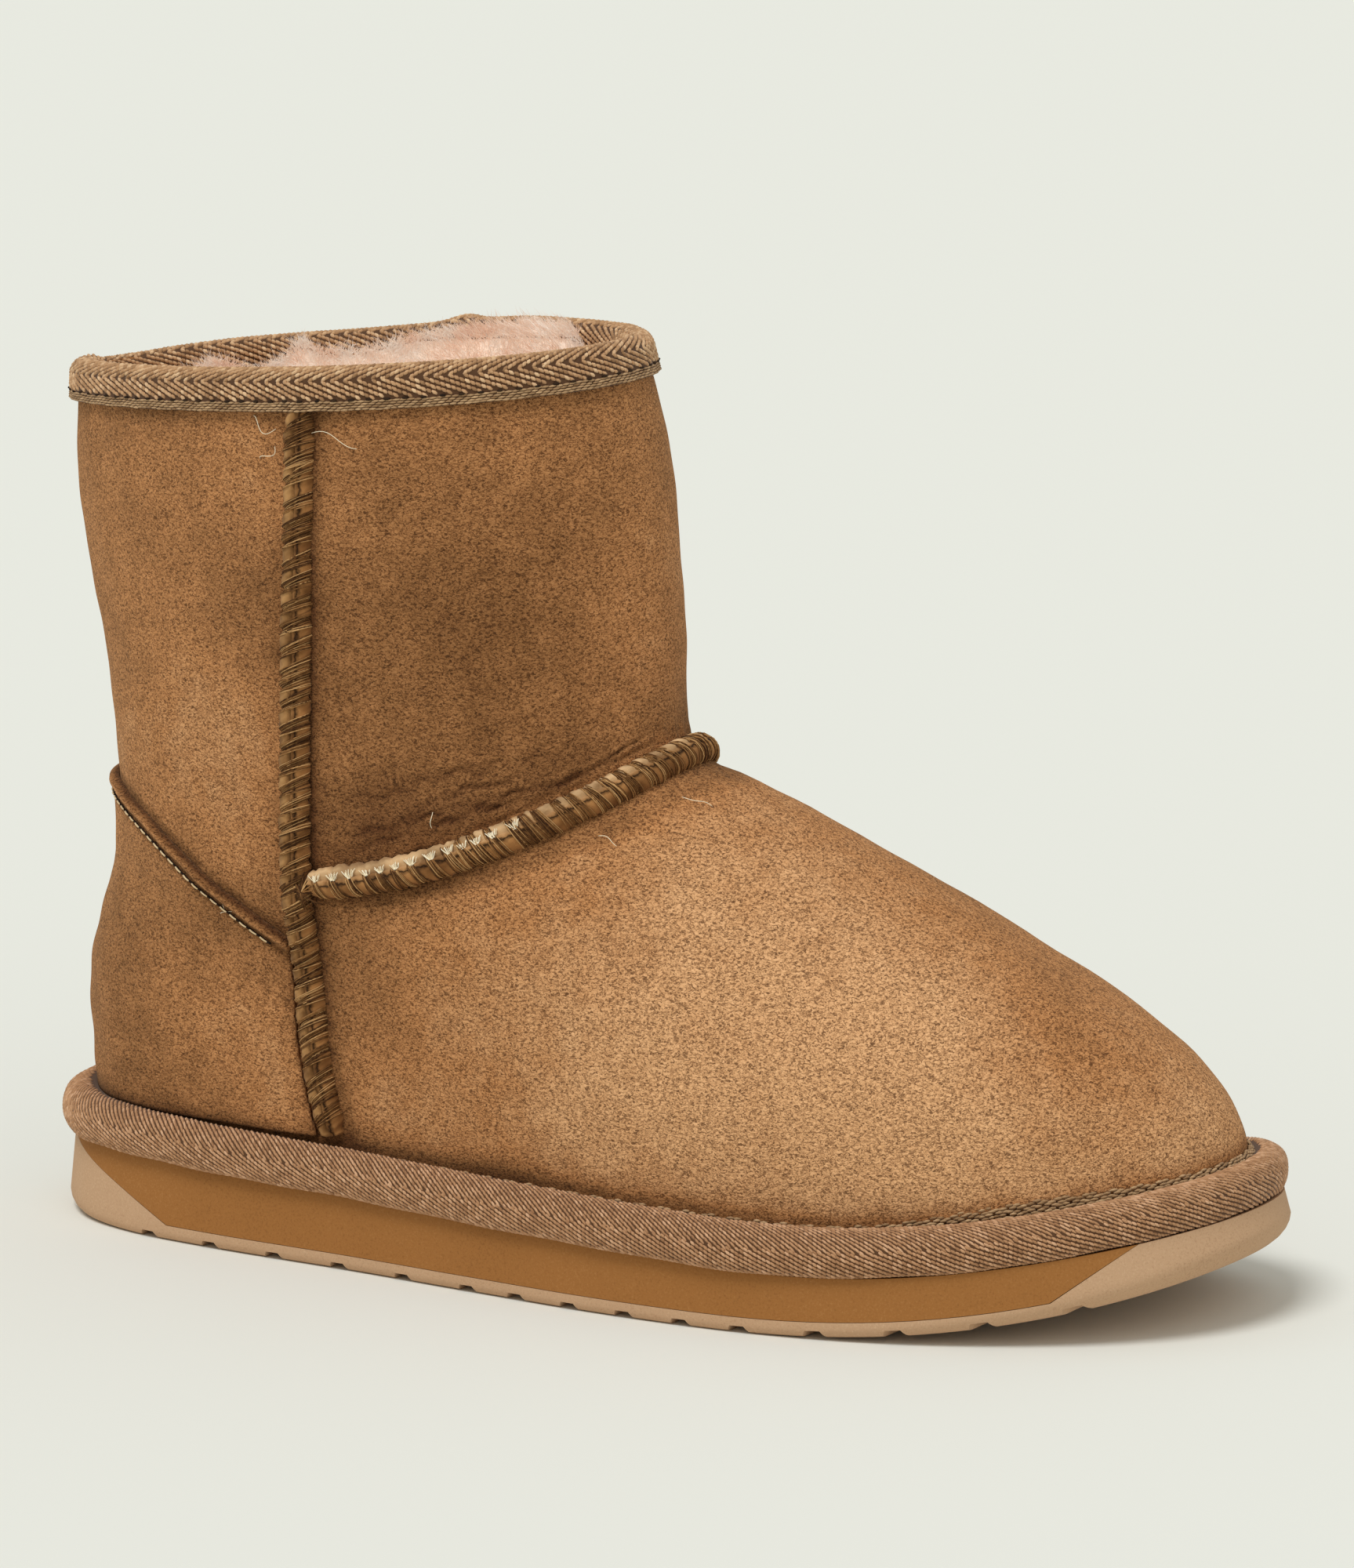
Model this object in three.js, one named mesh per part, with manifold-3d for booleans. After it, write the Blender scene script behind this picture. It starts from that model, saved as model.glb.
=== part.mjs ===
// Ankle-high sheepskin boot for the right foot, as an assembly of separate pieces.
// Millimetres, +Z up, toe towards +X, the wearer's left (the inner side of this foot) towards +Y.
// Everything is modelled with the heel's rearmost point of the sole at x = 0. The last lines move
// the group so that its origin is the middle of the boot's footprint, on the floor.

import * as THREE from 'three';
import { mergeVertices } from 'three/addons/utils/BufferGeometryUtils.js';
import Module from 'manifold-3d';

const wasm = await Module();
wasm.setup();

// Driving sizes of the sole
const SOLE_LENGTH = 266; // heel to toe tip, at the widest level of the side wall
const BALL_WIDTH = 97; // across the ball of the foot
const HEEL_RADIUS = 30; // round back of the sole, in plan
const TOE_RADIUS = 41; // round front of the sole, in plan
const AXIS_SWING = 9; // how far the toe tip lies towards the inner side of the heel's axis
const HEEL_THICKNESS = 17.5; // floor to the sole's top, at the heel
const TOE_SPRING = 15; // rise of the underside at the toe tip
const SPRING_CURVE = 2.35; // how slowly that rise sets in: 1 would be a straight ramp
const SPRING_START = 0.64; // share of the length where the underside leaves the floor
const OUTSOLE_FLOOR = 3.4; // thin part of the outsole, under the midsole
const SIDE_LEAN = 1.4; // how far the sole's wall comes in at its top
const SIDE_TUCK = 0.9; // how far it comes in again at its foot, along both sides
const EDGE_BEVEL = 2; // rounding of the bottom edge along the sides
const HEEL_BEVEL = 3.8; // the same at the back of the heel
const TOE_BEVEL = 4.6; // and at the toe tip

// Tread: bars between shallow V-shaped grooves
const GROOVE_DEPTH = 1.5;
const GROOVE_FLOOR = 3.0; // width at the bottom of a groove
const GROOVE_MOUTH = 4.7; // width where it opens on the floor side
const GROOVE_VEE = 7; // how far the middle of a groove lies ahead of its ends

// Driving sizes of the upper
const BOOT_HEIGHT = 187; // floor to the cut edge of the shaft, at its front
const UPPER_WIDTH = 80; // outside width at the ball, just above the sole
const SHAFT_WIDTH = 69; // outside width of the shaft's oval at the collar
const SKIN = 3; // sheepskin hide, without its wool
const WOOL = 8; // pressed depth of the wool lining
const INSOLE_THICKNESS = 5;

// Trim
const GAP = 0.3; // clearance between pieces that touch
const WELT_HEIGHT = 9; // woven band that wraps the joint of upper and sole
const WELT_OVERHANG = 1.2; // how far it stands out past the sole's wall
const WELT_TOE_OVERHANG = -1; // the same at the toe, where it lies behind the sole's edge
const TAPE = 1.2; // thickness of the woven tape round the collar
const TAPE_OUTSIDE = 6.8; // how far the tape reaches down outside
const TAPE_INSIDE = 9; // and inside
const COUNTER_THICKNESS = 1.2;
const COUNTER_LIP = 0.7; // extra thickness of the counter's turned edge
const LIP_WIDTH = 3.4;
const SEAM_RADIUS = 3.4; // overlocked roll of the side and instep seams
const SEAM_SINK = 0.4; // how far the roll's centre lies under the hide's surface
const SEAM_STOP = 1; // how far above the welt a side seam's square end stops
const LOCK_LENGTH = 9; // wool locks that stand up inside the collar
const LOCK_RADIUS = 3.8;
const LOCK_COUNT = 24;

// Mesh density
const SLIVER = 0.02; // detail smaller than this is merged after joining and cutting
const COLUMNS = 36; // round the boot
const SEAM_SIDES = 4; // segments of each half of a seam's round section

// Half-widths of the sole from the last's curved axis, as shares of the ball width
const SOLE_PLAN = [
  { along: 0.97, inner: 0.262, outer: 0.240 },
  { along: 0.93, inner: 0.356, outer: 0.338 },
  { along: 0.86, inner: 0.434, outer: 0.432 },
  { along: 0.76, inner: 0.476, outer: 0.505 },
  { along: 0.66, inner: 0.472, outer: 0.530 },
  { along: 0.54, inner: 0.430, outer: 0.512 },
  { along: 0.42, inner: 0.380, outer: 0.464 },
  { along: 0.30, inner: 0.362, outer: 0.414 },
  { along: 0.18, inner: 0.366, outer: 0.374 },
  { along: 0.10, inner: 0.334, outer: 0.328 },
  { along: 0.04, inner: 0.250, outer: 0.242 },
];

// Thickness of the whole sole, as a share of its thickness at the heel
const SOLE_SIDE = [
  { along: 0.00, thick: 1.00 },
  { along: 0.25, thick: 0.90 },
  { along: 0.50, thick: 0.79 },
  { along: 0.70, thick: 0.70 },
  { along: 0.88, thick: 0.665 },
  { along: 0.95, thick: 0.61 },
  { along: 1.00, thick: 0.535 },
];

// Grooves of the tread, in three runs. first and pitch: shares of the sole's length.
const TREAD = [
  { first: 0.124, pitch: 0.0608, count: 6 }, // heel
  { first: 0.473, pitch: 0.0485, count: 4 }, // waist
  { first: 0.666, pitch: 0.0585, count: 5 }, // ball and toes
];

// Sections of the upper, from the sole to the collar. up: share of the upper's height at the front.
// drop and tilt: how much lower a section runs, as a share of that height. A drop is reached beside
// the ankle and goes on to the heel, a tilt grows in a straight slope towards the heel.
// back and front: shares of the sole's length. width: share of the upper's width at the ball.
// shaft: 0 is the foot's outline, 1 the oval of the shaft. egg: how much the oval narrows backwards.
const SECTIONS = [
  { up: 0.000, drop: 0.000, tilt: 0.000, back: 0.031, front: 0.966, width: 1.000, shaft: 0.00, egg: 0.00 },
  { up: 0.058, drop: 0.000, tilt: 0.000, back: 0.027, front: 0.968, width: 1.020, shaft: 0.00, egg: 0.00 },
  { up: 0.095, drop: 0.002, tilt: 0.000, back: 0.026, front: 0.963, width: 1.035, shaft: 0.02, egg: 0.00 },
  { up: 0.135, drop: 0.010, tilt: 0.000, back: 0.025, front: 0.951, width: 1.040, shaft: 0.05, egg: 0.00 },
  { up: 0.178, drop: 0.022, tilt: 0.000, back: 0.024, front: 0.930, width: 1.035, shaft: 0.09, egg: 0.00 },
  { up: 0.220, drop: 0.036, tilt: 0.000, back: 0.024, front: 0.899, width: 1.022, shaft: 0.14, egg: 0.00 },
  { up: 0.263, drop: 0.052, tilt: 0.000, back: 0.025, front: 0.858, width: 1.006, shaft: 0.20, egg: 0.00 },
  { up: 0.305, drop: 0.070, tilt: 0.000, back: 0.028, front: 0.808, width: 0.990, shaft: 0.28, egg: 0.00 },
  { up: 0.353, drop: 0.092, tilt: 0.000, back: 0.033, front: 0.746, width: 0.976, shaft: 0.38, egg: 0.00 },
  { up: 0.401, drop: 0.114, tilt: 0.000, back: 0.038, front: 0.682, width: 0.968, shaft: 0.50, egg: 0.00 },
  { up: 0.448, drop: 0.136, tilt: 0.000, back: 0.043, front: 0.619, width: 0.963, shaft: 0.64, egg: 0.00 },
  { up: 0.484, drop: 0.152, tilt: 0.000, back: 0.047, front: 0.573, width: 0.960, shaft: 0.78, egg: 0.00 },
  { up: 0.516, drop: 0.158, tilt: 0.000, back: 0.049, front: 0.530, width: 0.958, shaft: 0.91, egg: 0.00 },
  { up: 0.570, drop: 0.138, tilt: 0.004, back: 0.047, front: 0.518, width: 0.955, shaft: 1.00, egg: 0.02 },
  { up: 0.660, drop: 0.090, tilt: 0.018, back: 0.036, front: 0.515, width: 0.945, shaft: 1.00, egg: 0.06 },
  { up: 0.770, drop: 0.042, tilt: 0.038, back: 0.018, front: 0.509, width: 0.927, shaft: 1.00, egg: 0.12 },
  { up: 0.880, drop: 0.012, tilt: 0.056, back: 0.005, front: 0.500, width: 0.897, shaft: 1.00, egg: 0.19 },
  { up: 1.000, drop: 0.000, tilt: 0.069, back: 0.006, front: 0.478, width: 0.862, shaft: 1.00, egg: 0.25 },
];
const DROP_TURN = THREE.MathUtils.degToRad(100); // turn from the front where a drop is complete

// Route of both side seams. height: share of the boot's height. along: share of the sole's length.
const SIDE_SEAM = [
  { height: 0.14, along: 0.289 },
  { height: 0.22, along: 0.277 },
  { height: 0.30, along: 0.271 },
  { height: 0.42, along: 0.268 },
  { height: 0.60, along: 0.268 },
  { height: 0.80, along: 0.270 },
  { height: 0.95, along: 0.270 },
];

const INSTEP_LEVEL = 0.518; // section of the upper that the instep seam runs along

// Upper edge of the heel counter, seen from the side
const COUNTER_EDGE = [
  { along: -0.02, height: 0.502 },
  { along: 0.04, height: 0.500 },
  { along: 0.07, height: 0.492 },
  { along: 0.12, height: 0.465 },
  { along: 0.17, height: 0.425 },
  { along: 0.22, height: 0.384 },
  { along: 0.28, height: 0.335 },
];

// Side view of the joint between the pale outsole and the darker midsole
const MIDSOLE_HEEL_TOP = 5; // where the midsole starts at the sole's top
const MIDSOLE_HEEL_FOOT = 38; // and at the outsole's floor
const MIDSOLE_HEEL_BOW = 1.3; // how far the joint between them bows forwards
const MIDSOLE_TOE_TOP = 16; // the same at the toe, measured back from the tip
const MIDSOLE_TOE_FOOT = 30;

const mix = (a, b, share) => a + (b - a) * share;
const clamp01 = (value) => Math.min(1, Math.max(0, value));
const shares = (steps) => Array.from({ length: steps + 1 }, (_, i) => i / steps);
const easing = (share) => clamp01(share) ** 2 * (3 - 2 * clamp01(share));

// Smooth curve through a table's rows: the value of one column where another column equals at.
function read(table, key, at, column) {
  const rising = table[0][key] < table[table.length - 1][key];
  const rows = rising ? table : [...table].reverse();
  const last = rows.length - 1;
  if (at <= rows[0][key]) return rows[0][column];
  if (at >= rows[last][key]) return rows[last][column];
  let i = 0;
  while (rows[i + 1][key] < at) i++;
  const slope = (k) => {
    const low = rows[Math.max(0, k - 1)];
    const high = rows[Math.min(last, k + 1)];
    return (high[column] - low[column]) / (high[key] - low[key]);
  };
  const span = rows[i + 1][key] - rows[i][key];
  const t = (at - rows[i][key]) / span;
  const start = rows[i][column];
  const end = rows[i + 1][column];
  return (
    (2 * t ** 3 - 3 * t ** 2 + 1) * start +
    (t ** 3 - 2 * t ** 2 + t) * span * slope(i) +
    (3 * t ** 2 - 2 * t ** 3) * end +
    (t ** 3 - t ** 2) * span * slope(i + 1)
  );
}

// The plan table as fullness, which is half-width over the sine of the turn and so never zero.
const alongOf = (turn) => (1 + Math.cos(turn)) / 2;
const endFullness = (radius) => Math.sqrt((radius * SOLE_LENGTH) / 2) / BALL_WIDTH;
const FULLNESS = [
  { turn: 0, inner: endFullness(TOE_RADIUS), outer: endFullness(TOE_RADIUS) },
  ...SOLE_PLAN.map(({ along, inner, outer }) => {
    const turn = Math.acos(2 * along - 1);
    return { turn, inner: inner / Math.sin(turn), outer: outer / Math.sin(turn) };
  }),
  { turn: Math.PI, inner: endFullness(HEEL_RADIUS), outer: endFullness(HEEL_RADIUS) },
];

// Signed half-width of the foot's outline at a turn round the boot, as a share of its width.
// The turn is 0 at the toe tip, grows along the inner side, and is pi at the heel.
function footHalf(turn) {
  const onInner = turn <= Math.PI;
  const folded = onInner ? turn : 2 * Math.PI - turn;
  const side = onInner ? 'inner' : 'outer';
  return Math.sin(turn) * read(FULLNESS, 'turn', folded, side);
}

const TURNS = Array.from({ length: COLUMNS }, (_, i) => (2 * Math.PI * i) / COLUMNS);

// Sole outline at a turn, moved outwards in plan by a distance.
function planPoint(turn, outwards = 0) {
  const at = (angle) => {
    const along = alongOf(angle);
    const y = AXIS_SWING * along ** 3 + footHalf(angle) * BALL_WIDTH;
    return new THREE.Vector2(along * SOLE_LENGTH, y);
  };
  const step = 0.01;
  const wrap = (angle) => (angle + 2 * Math.PI) % (2 * Math.PI);
  const tangent = at(wrap(turn + step)).sub(at(wrap(turn - step))).normalize();
  const normal = new THREE.Vector2(tangent.y, -tangent.x);
  return at(turn).addScaledVector(normal, outwards);
}

// Underside and top of the sole at a distance from the heel.
function springShare(x) {
  const start = SPRING_START * SOLE_LENGTH;
  return clamp01((x - start) / (SOLE_LENGTH - start));
}
const soleUnder = (x) => TOE_SPRING * springShare(x) ** SPRING_CURVE;
const soleTop = (x) =>
  soleUnder(x) + HEEL_THICKNESS * read(SOLE_SIDE, 'along', x / SOLE_LENGTH, 'thick');

// A closed solid from a stack of rings of equal length, each four-sided patch split along its
// shorter diagonal. A hollow one joins its last ring to its first. A capped one is closed by
// strips that run straight across from side to side.
function skin(rings, hollow) {
  const count = rings[0].length;
  const points = rings.flat();
  const positions = points.flatMap((p) => [p.x, p.y, p.z]);
  const index = [];
  const bands = hollow ? rings.length : rings.length - 1;
  for (let r = 0; r < bands; r++) {
    const low = r * count;
    const high = ((r + 1) % rings.length) * count;
    for (let c = 0; c < count; c++) {
      const next = (c + 1) % count;
      const corners = [low + c, low + next, high + next, high + c];
      const across = (i, k) => points[corners[i]].distanceTo(points[corners[k]]);
      const split = across(0, 2) <= across(1, 3) ? [0, 1, 2, 0, 2, 3] : [0, 1, 3, 1, 2, 3];
      index.push(...split.map((i) => corners[i]));
    }
  }
  const cap = (base, flip) => {
    const face = (a, b, c) => index.push(base + a, base + (flip ? c : b), base + (flip ? b : c));
    const half = count / 2;
    for (let c = 0; c < half; c++) {
      const across = (count - c) % count;
      const acrossNext = count - c - 1;
      if (c > 0) face(c, c + 1, across);
      if (c < half - 1) face(c + 1, acrossNext, across);
    }
  };
  if (!hollow) {
    cap(0, true);
    cap((rings.length - 1) * count, false);
  }
  const geometry = new THREE.BufferGeometry();
  geometry.setAttribute('position', new THREE.Float32BufferAttribute(positions, 3));
  geometry.setIndex(index);
  return geometry;
}

// Three.js geometry to a solid that can be joined and cut, and back.
function solid(geometry) {
  const bare = new THREE.BufferGeometry();
  bare.setAttribute('position', geometry.getAttribute('position'));
  if (geometry.index) bare.setIndex(geometry.index);
  const merged = mergeVertices(bare, 1e-4);
  const vertProperties = merged.attributes.position.array;
  const triVerts = new Uint32Array(merged.index.array);
  return new wasm.Manifold(new wasm.Mesh({ numProp: 3, vertProperties, triVerts }));
}

function geometryOf(made) {
  const { vertProperties, triVerts } = made.simplify(SLIVER).getMesh();
  const geometry = new THREE.BufferGeometry();
  geometry.setAttribute('position', new THREE.BufferAttribute(vertProperties, 3));
  geometry.setIndex(new THREE.BufferAttribute(triVerts, 1));
  return geometry;
}

// A prism right across the boot, from an outline of [x, z] points seen from the side.
const REACH = BALL_WIDTH; // half the length of a cutter that runs past both sides
function acrossPrism(outline) {
  const shape = new THREE.Shape(outline.map(([x, z]) => new THREE.Vector2(x, z)));
  const prism = new THREE.ExtrudeGeometry(shape, { depth: 2 * REACH, bevelEnabled: false });
  prism.rotateX(Math.PI / 2);
  prism.translate(0, REACH, 0);
  return solid(prism);
}

// Upper: height of its lowest edge over the heel, and the height between that and the collar.
const FEATHER = HEEL_THICKNESS + GAP;
const UPPER_RISE = BOOT_HEIGHT - FEATHER;
const LIFT_END = 0.42; // share of the height by which the sole's own curve has faded out

const upOf = (height) => (height - FEATHER) / UPPER_RISE;
const lift = (x, up) => (soleTop(x) - HEEL_THICKNESS) * clamp01(1 - up / LIFT_END) ** 2;

// A point on the upper's outer face, moved outwards along the face's normal.
function upperFace(turn, up) {
  const at = (column) => read(SECTIONS, 'up', up, column);
  const along = alongOf(turn);
  const x = SOLE_LENGTH * mix(at('back'), at('front'), along);
  const shaft = at('shaft');
  const width = mix(UPPER_WIDTH, SHAFT_WIDTH / SECTIONS.at(-1).width, shaft) * at('width');
  const oval = (Math.sin(turn) / 2) * (1 + at('egg') * Math.cos(turn));
  const half = mix(footHalf(turn), oval, shaft) * width;
  const swing = AXIS_SWING * along ** 3 * (1 - shaft);
  const dropped = easing(Math.min(turn, 2 * Math.PI - turn) / DROP_TURN);
  const fall = dropped * at('drop') + (1 - along) * at('tilt');
  const z = FEATHER + (up - fall) * UPPER_RISE + lift(x, up);
  return new THREE.Vector3(x, swing + half, z);
}

function upperNormal(turn, up) {
  const step = 0.004;
  const wrap = (angle) => (angle + 2 * Math.PI) % (2 * Math.PI);
  const round = upperFace(wrap(turn + step), up).sub(upperFace(wrap(turn - step), up));
  const high = Math.min(1, up + step);
  const low = Math.max(0, up - step);
  const rise = upperFace(turn, high).sub(upperFace(turn, low));
  return round.cross(rise).normalize();
}

const onUpper = (turn, up, outwards) =>
  upperFace(turn, up).addScaledVector(upperNormal(turn, up), outwards);

const upperRing = (up, outwards) => TURNS.map((turn) => onUpper(turn, up, outwards));
const moved = (ring, rise) => ring.map((p) => new THREE.Vector3(p.x, p.y, p.z + rise));
const LINING_RIM = 1 - (TAPE_INSIDE + GAP) / UPPER_RISE;
const UPS = [...SECTIONS.map((row) => row.up), LINING_RIM].sort((a, b) => a - b);

// The turn and share of height of the upper's face at a height, x and side (1 inner, -1 outer).
function placeOnUpper(x, height, side) {
  let low = 0;
  let high = 1;
  let turn = 0;
  for (let i = 0; i < 30; i++) {
    const up = (low + high) / 2;
    const back = SOLE_LENGTH * read(SECTIONS, 'up', up, 'back');
    const front = SOLE_LENGTH * read(SECTIONS, 'up', up, 'front');
    const along = clamp01((x - back) / (front - back));
    turn = Math.acos(2 * along - 1);
    if (side < 0) turn = 2 * Math.PI - turn;
    if (upperFace(turn, up).z < height) low = up;
    else high = up;
  }
  return { turn, up: (low + high) / 2 };
}

// Sole
function bevelAt(x) {
  const back = mix(HEEL_BEVEL, EDGE_BEVEL, easing(x / HEEL_RADIUS));
  return mix(back, TOE_BEVEL, springShare(x) ** 2);
}
const tuck = (turn) => SIDE_TUCK * Math.sin(turn) ** 2;

function soleRing(outwards, height) {
  return TURNS.map((turn) => {
    const p = planPoint(turn, outwards(turn, planPoint(turn).x));
    return new THREE.Vector3(p.x, p.y, height(p.x));
  });
}

// Ring of the rounded bottom edge, at a slope: 0 lies on the underside, a right angle on the wall.
function edgeRing(slope) {
  const inwards = 1 - Math.sin(slope);
  const rise = 1 - Math.cos(slope);
  return soleRing(
    (turn, x) => -tuck(turn) - bevelAt(x) * inwards,
    (x) => soleUnder(x) + bevelAt(x) * rise,
  );
}

function soleBody() {
  const edge = [0, Math.PI / 4, Math.PI / 2].map(edgeRing);
  const top = soleRing(() => -SIDE_LEAN, soleTop);
  return solid(skin([...edge, top], false));
}

// Side view of the midsole, grown by a clearance, as an outline past the sole's top and sides.
function midsoleOutline(clearance) {
  const above = 3 * HEEL_THICKNESS;
  const floor = (x) => soleUnder(x) + OUTSOLE_FLOOR - clearance;
  const heelFoot = MIDSOLE_HEEL_FOOT - clearance;
  const toeFoot = SOLE_LENGTH - MIDSOLE_TOE_FOOT + clearance;
  const heelTop = MIDSOLE_HEEL_TOP - clearance;
  const toeTop = SOLE_LENGTH - MIDSOLE_TOE_TOP + clearance;
  const run = shares(10).map((share) => mix(heelFoot, toeFoot, share));
  const heelMid = mix(heelTop, heelFoot, 0.5) + MIDSOLE_HEEL_BOW;
  return [
    [heelTop, above],
    [heelTop, soleTop(heelTop)],
    [heelMid, mix(soleTop(heelTop), floor(heelFoot), 0.5)],
    ...run.map((x) => [x, floor(x)]),
    [toeTop, soleTop(toeTop)],
    [toeTop, above],
  ];
}

// One V-shaped groove across the tread, as a cutter of four-sided sections.
function groove(x) {
  const section = (y, ahead) => {
    const mouth = GROOVE_MOUTH / 2;
    const floor = GROOVE_FLOOR / 2;
    const centre = x + ahead;
    const point = (dx, dz) => new THREE.Vector3(centre + dx, y, soleUnder(centre + dx) + dz);
    const below = mouth + (mouth - floor) / 2;
    return [
      point(-below, -GROOVE_DEPTH / 2),
      point(-floor, GROOVE_DEPTH),
      point(floor, GROOVE_DEPTH),
      point(below, -GROOVE_DEPTH / 2),
    ];
  };
  const middle = section(0, GROOVE_VEE / 2);
  return solid(skin([section(-REACH, -GROOVE_VEE), middle, section(REACH, -GROOVE_VEE)], false));
}

function outsole() {
  let made = soleBody().subtract(acrossPrism(midsoleOutline(GAP)));
  for (const { first, pitch, count } of TREAD) {
    for (let i = 0; i < count; i++) made = made.subtract(groove(SOLE_LENGTH * (first + i * pitch)));
  }
  return geometryOf(made);
}

const midsole = () => geometryOf(soleBody().intersect(acrossPrism(midsoleOutline(0))));

// Welt: a rounded woven band between the upper's foot and the sole's rim.
// reach: 0 is at the upper, 1 at the band's outermost line. rise: share of its height.
const WELT_SECTION = [
  { reach: 0.00, rise: 0.00 },
  { reach: 0.78, rise: 0.00 },
  { reach: 0.95, rise: 0.14 },
  { reach: 1.00, rise: 0.42 },
  { reach: 0.93, rise: 0.72 },
  { reach: 0.70, rise: 0.93 },
  { reach: 0.42, rise: 1.00 },
  { reach: 0.16, rise: 0.93 },
  { reach: 0.00, rise: 0.80 },
];

function welt() {
  const rings = WELT_SECTION.map(({ reach, rise }) =>
    TURNS.map((turn) => {
      const inside = onUpper(turn, rise * upOf(FEATHER + WELT_HEIGHT), GAP);
      const overhang = mix(WELT_OVERHANG, WELT_TOE_OVERHANG, springShare(planPoint(turn).x));
      const outside = planPoint(turn, overhang);
      const x = mix(inside.x, outside.x, reach);
      const y = mix(inside.y, outside.y, reach);
      return new THREE.Vector3(x, y, soleTop(x) + GAP + rise * WELT_HEIGHT);
    }),
  );
  return skin(rings, true);
}

// Shell between two offsets of the upper's own face, over a list of levels.
function shell(ups, outer, inner) {
  const outside = ups.map((up) => upperRing(up, outer));
  const inside = [...ups].reverse().map((up) => upperRing(up, inner));
  return skin([...outside, ...inside], true);
}

const upper = () => shell(UPS, 0, -SKIN);

// Closed form of the upper's outside, grown by a distance.
const upperForm = (outwards) => solid(skin(UPS.map((up) => upperRing(up, outwards)), false));

// Woven tape folded over the collar's cut edge.
function collarTape() {
  const outsideUp = 1 - TAPE_OUTSIDE / UPPER_RISE;
  const insideUp = 1 - TAPE_INSIDE / UPPER_RISE;
  const inner = SKIN + GAP;
  const crown = GAP + TAPE;
  const rings = [
    upperRing(outsideUp, GAP + TAPE),
    upperRing(1, GAP + TAPE),
    moved(upperRing(1, 0), crown),
    moved(upperRing(1, -SKIN), crown),
    upperRing(1, -inner - TAPE),
    upperRing(insideUp, -inner - TAPE),
    upperRing(insideUp, -inner),
    moved(upperRing(1, -inner), GAP),
    moved(upperRing(1, GAP), GAP),
    upperRing(outsideUp, GAP),
  ];
  return skin(rings, true);
}

// Insole on the sole's top, inside the upper.
function insole() {
  const ring = (rise) =>
    upperRing(0, -SKIN - GAP).map((p) => new THREE.Vector3(p.x, p.y, soleTop(p.x) + GAP + rise));
  return skin([ring(0), ring(INSOLE_THICKNESS)], false);
}

// Wool lining from the insole to the foot of the collar tape, with locks that stand up round its rim.
function lining() {
  const foot = (INSOLE_THICKNESS + GAP) / UPPER_RISE;
  const levels = [foot, ...UPS.filter((up) => up > foot && up <= LINING_RIM)];
  let made = solid(shell(levels, -SKIN - GAP, -SKIN - GAP - WOOL));
  for (let i = 0; i < LOCK_COUNT; i++) made = made.add(woolLock(i));
  return geometryOf(made);
}

// One tapering lock, rooted in the lining's rim and leaning inwards, with its own length and lean.
function woolLock(i) {
  const turn = (2 * Math.PI * (i + 0.5)) / LOCK_COUNT;
  const vary = Math.sin(i * 2.4);
  const depth = SKIN + TAPE + LOCK_RADIUS + 4 * GAP;
  const root = onUpper(turn, LINING_RIM - LOCK_RADIUS / UPPER_RISE, -depth);
  const length = LOCK_LENGTH + LOCK_RADIUS + 2 * vary;
  const lock = new THREE.ConeGeometry(LOCK_RADIUS, length, 6, 1);
  lock.translate(0, length / 2 - LOCK_RADIUS / 2, 0);
  const lean = upperNormal(turn, LINING_RIM).multiplyScalar(-0.25 - 0.15 * vary);
  const direction = new THREE.Vector3(0, 0, 1).add(lean).normalize();
  const up = new THREE.Vector3(0, 1, 0);
  lock.applyQuaternion(new THREE.Quaternion().setFromUnitVectors(up, direction));
  lock.translate(root.x, root.y, root.z);
  return solid(lock);
}

// Heel counter: a skin over the upper's back, between the side seams, with a thicker turned edge.
function heelCounter() {
  const floor = FEATHER + WELT_HEIGHT + GAP;
  const edgeHeight = (x) => BOOT_HEIGHT * read(COUNTER_EDGE, 'along', x / SOLE_LENGTH, 'height');
  const sideX = (height) => seamX(height) - SEAM_RADIUS - GAP;
  const start = COUNTER_EDGE[0].along * SOLE_LENGTH;
  let corner = sideX(floor);
  for (let i = 0; i < 20; i++) corner = sideX(edgeHeight(corner));
  const outline = (turnedIn) => {
    const low = edgeHeight(corner) - turnedIn;
    const top = shares(10).map((share) => mix(start, corner, share));
    const side = shares(3).map((share) => mix(low, floor, share)).slice(1);
    return [
      ...top.map((x) => [x, edgeHeight(x) - turnedIn]),
      ...side.map((height) => [sideX(height), height]),
      [start, floor],
    ];
  };
  const patch = acrossPrism(outline(0));
  const body = upperForm(GAP + COUNTER_THICKNESS).intersect(patch);
  const lip = upperForm(GAP + COUNTER_THICKNESS + COUNTER_LIP).intersect(patch);
  const raised = lip.subtract(acrossPrism(outline(LIP_WIDTH)));
  return geometryOf(body.add(raised).subtract(upperForm(GAP)));
}

// A round roll along points, without what lies inside the upper's grown form.
function seamRoll(points) {
  const curve = new THREE.CatmullRomCurve3(points, false, 'centripetal');
  const circle = new THREE.Shape().absarc(0, 0, SEAM_RADIUS, 0, 2 * Math.PI);
  const tube = new THREE.ExtrudeGeometry(circle, {
    steps: points.length + 4,
    curveSegments: SEAM_SIDES,
    bevelEnabled: false,
    extrudePath: curve,
  });
  return solid(tube).subtract(upperForm(GAP));
}

const seamX = (height) => SOLE_LENGTH * read(SIDE_SEAM, 'height', height / BOOT_HEIGHT, 'along');

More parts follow.
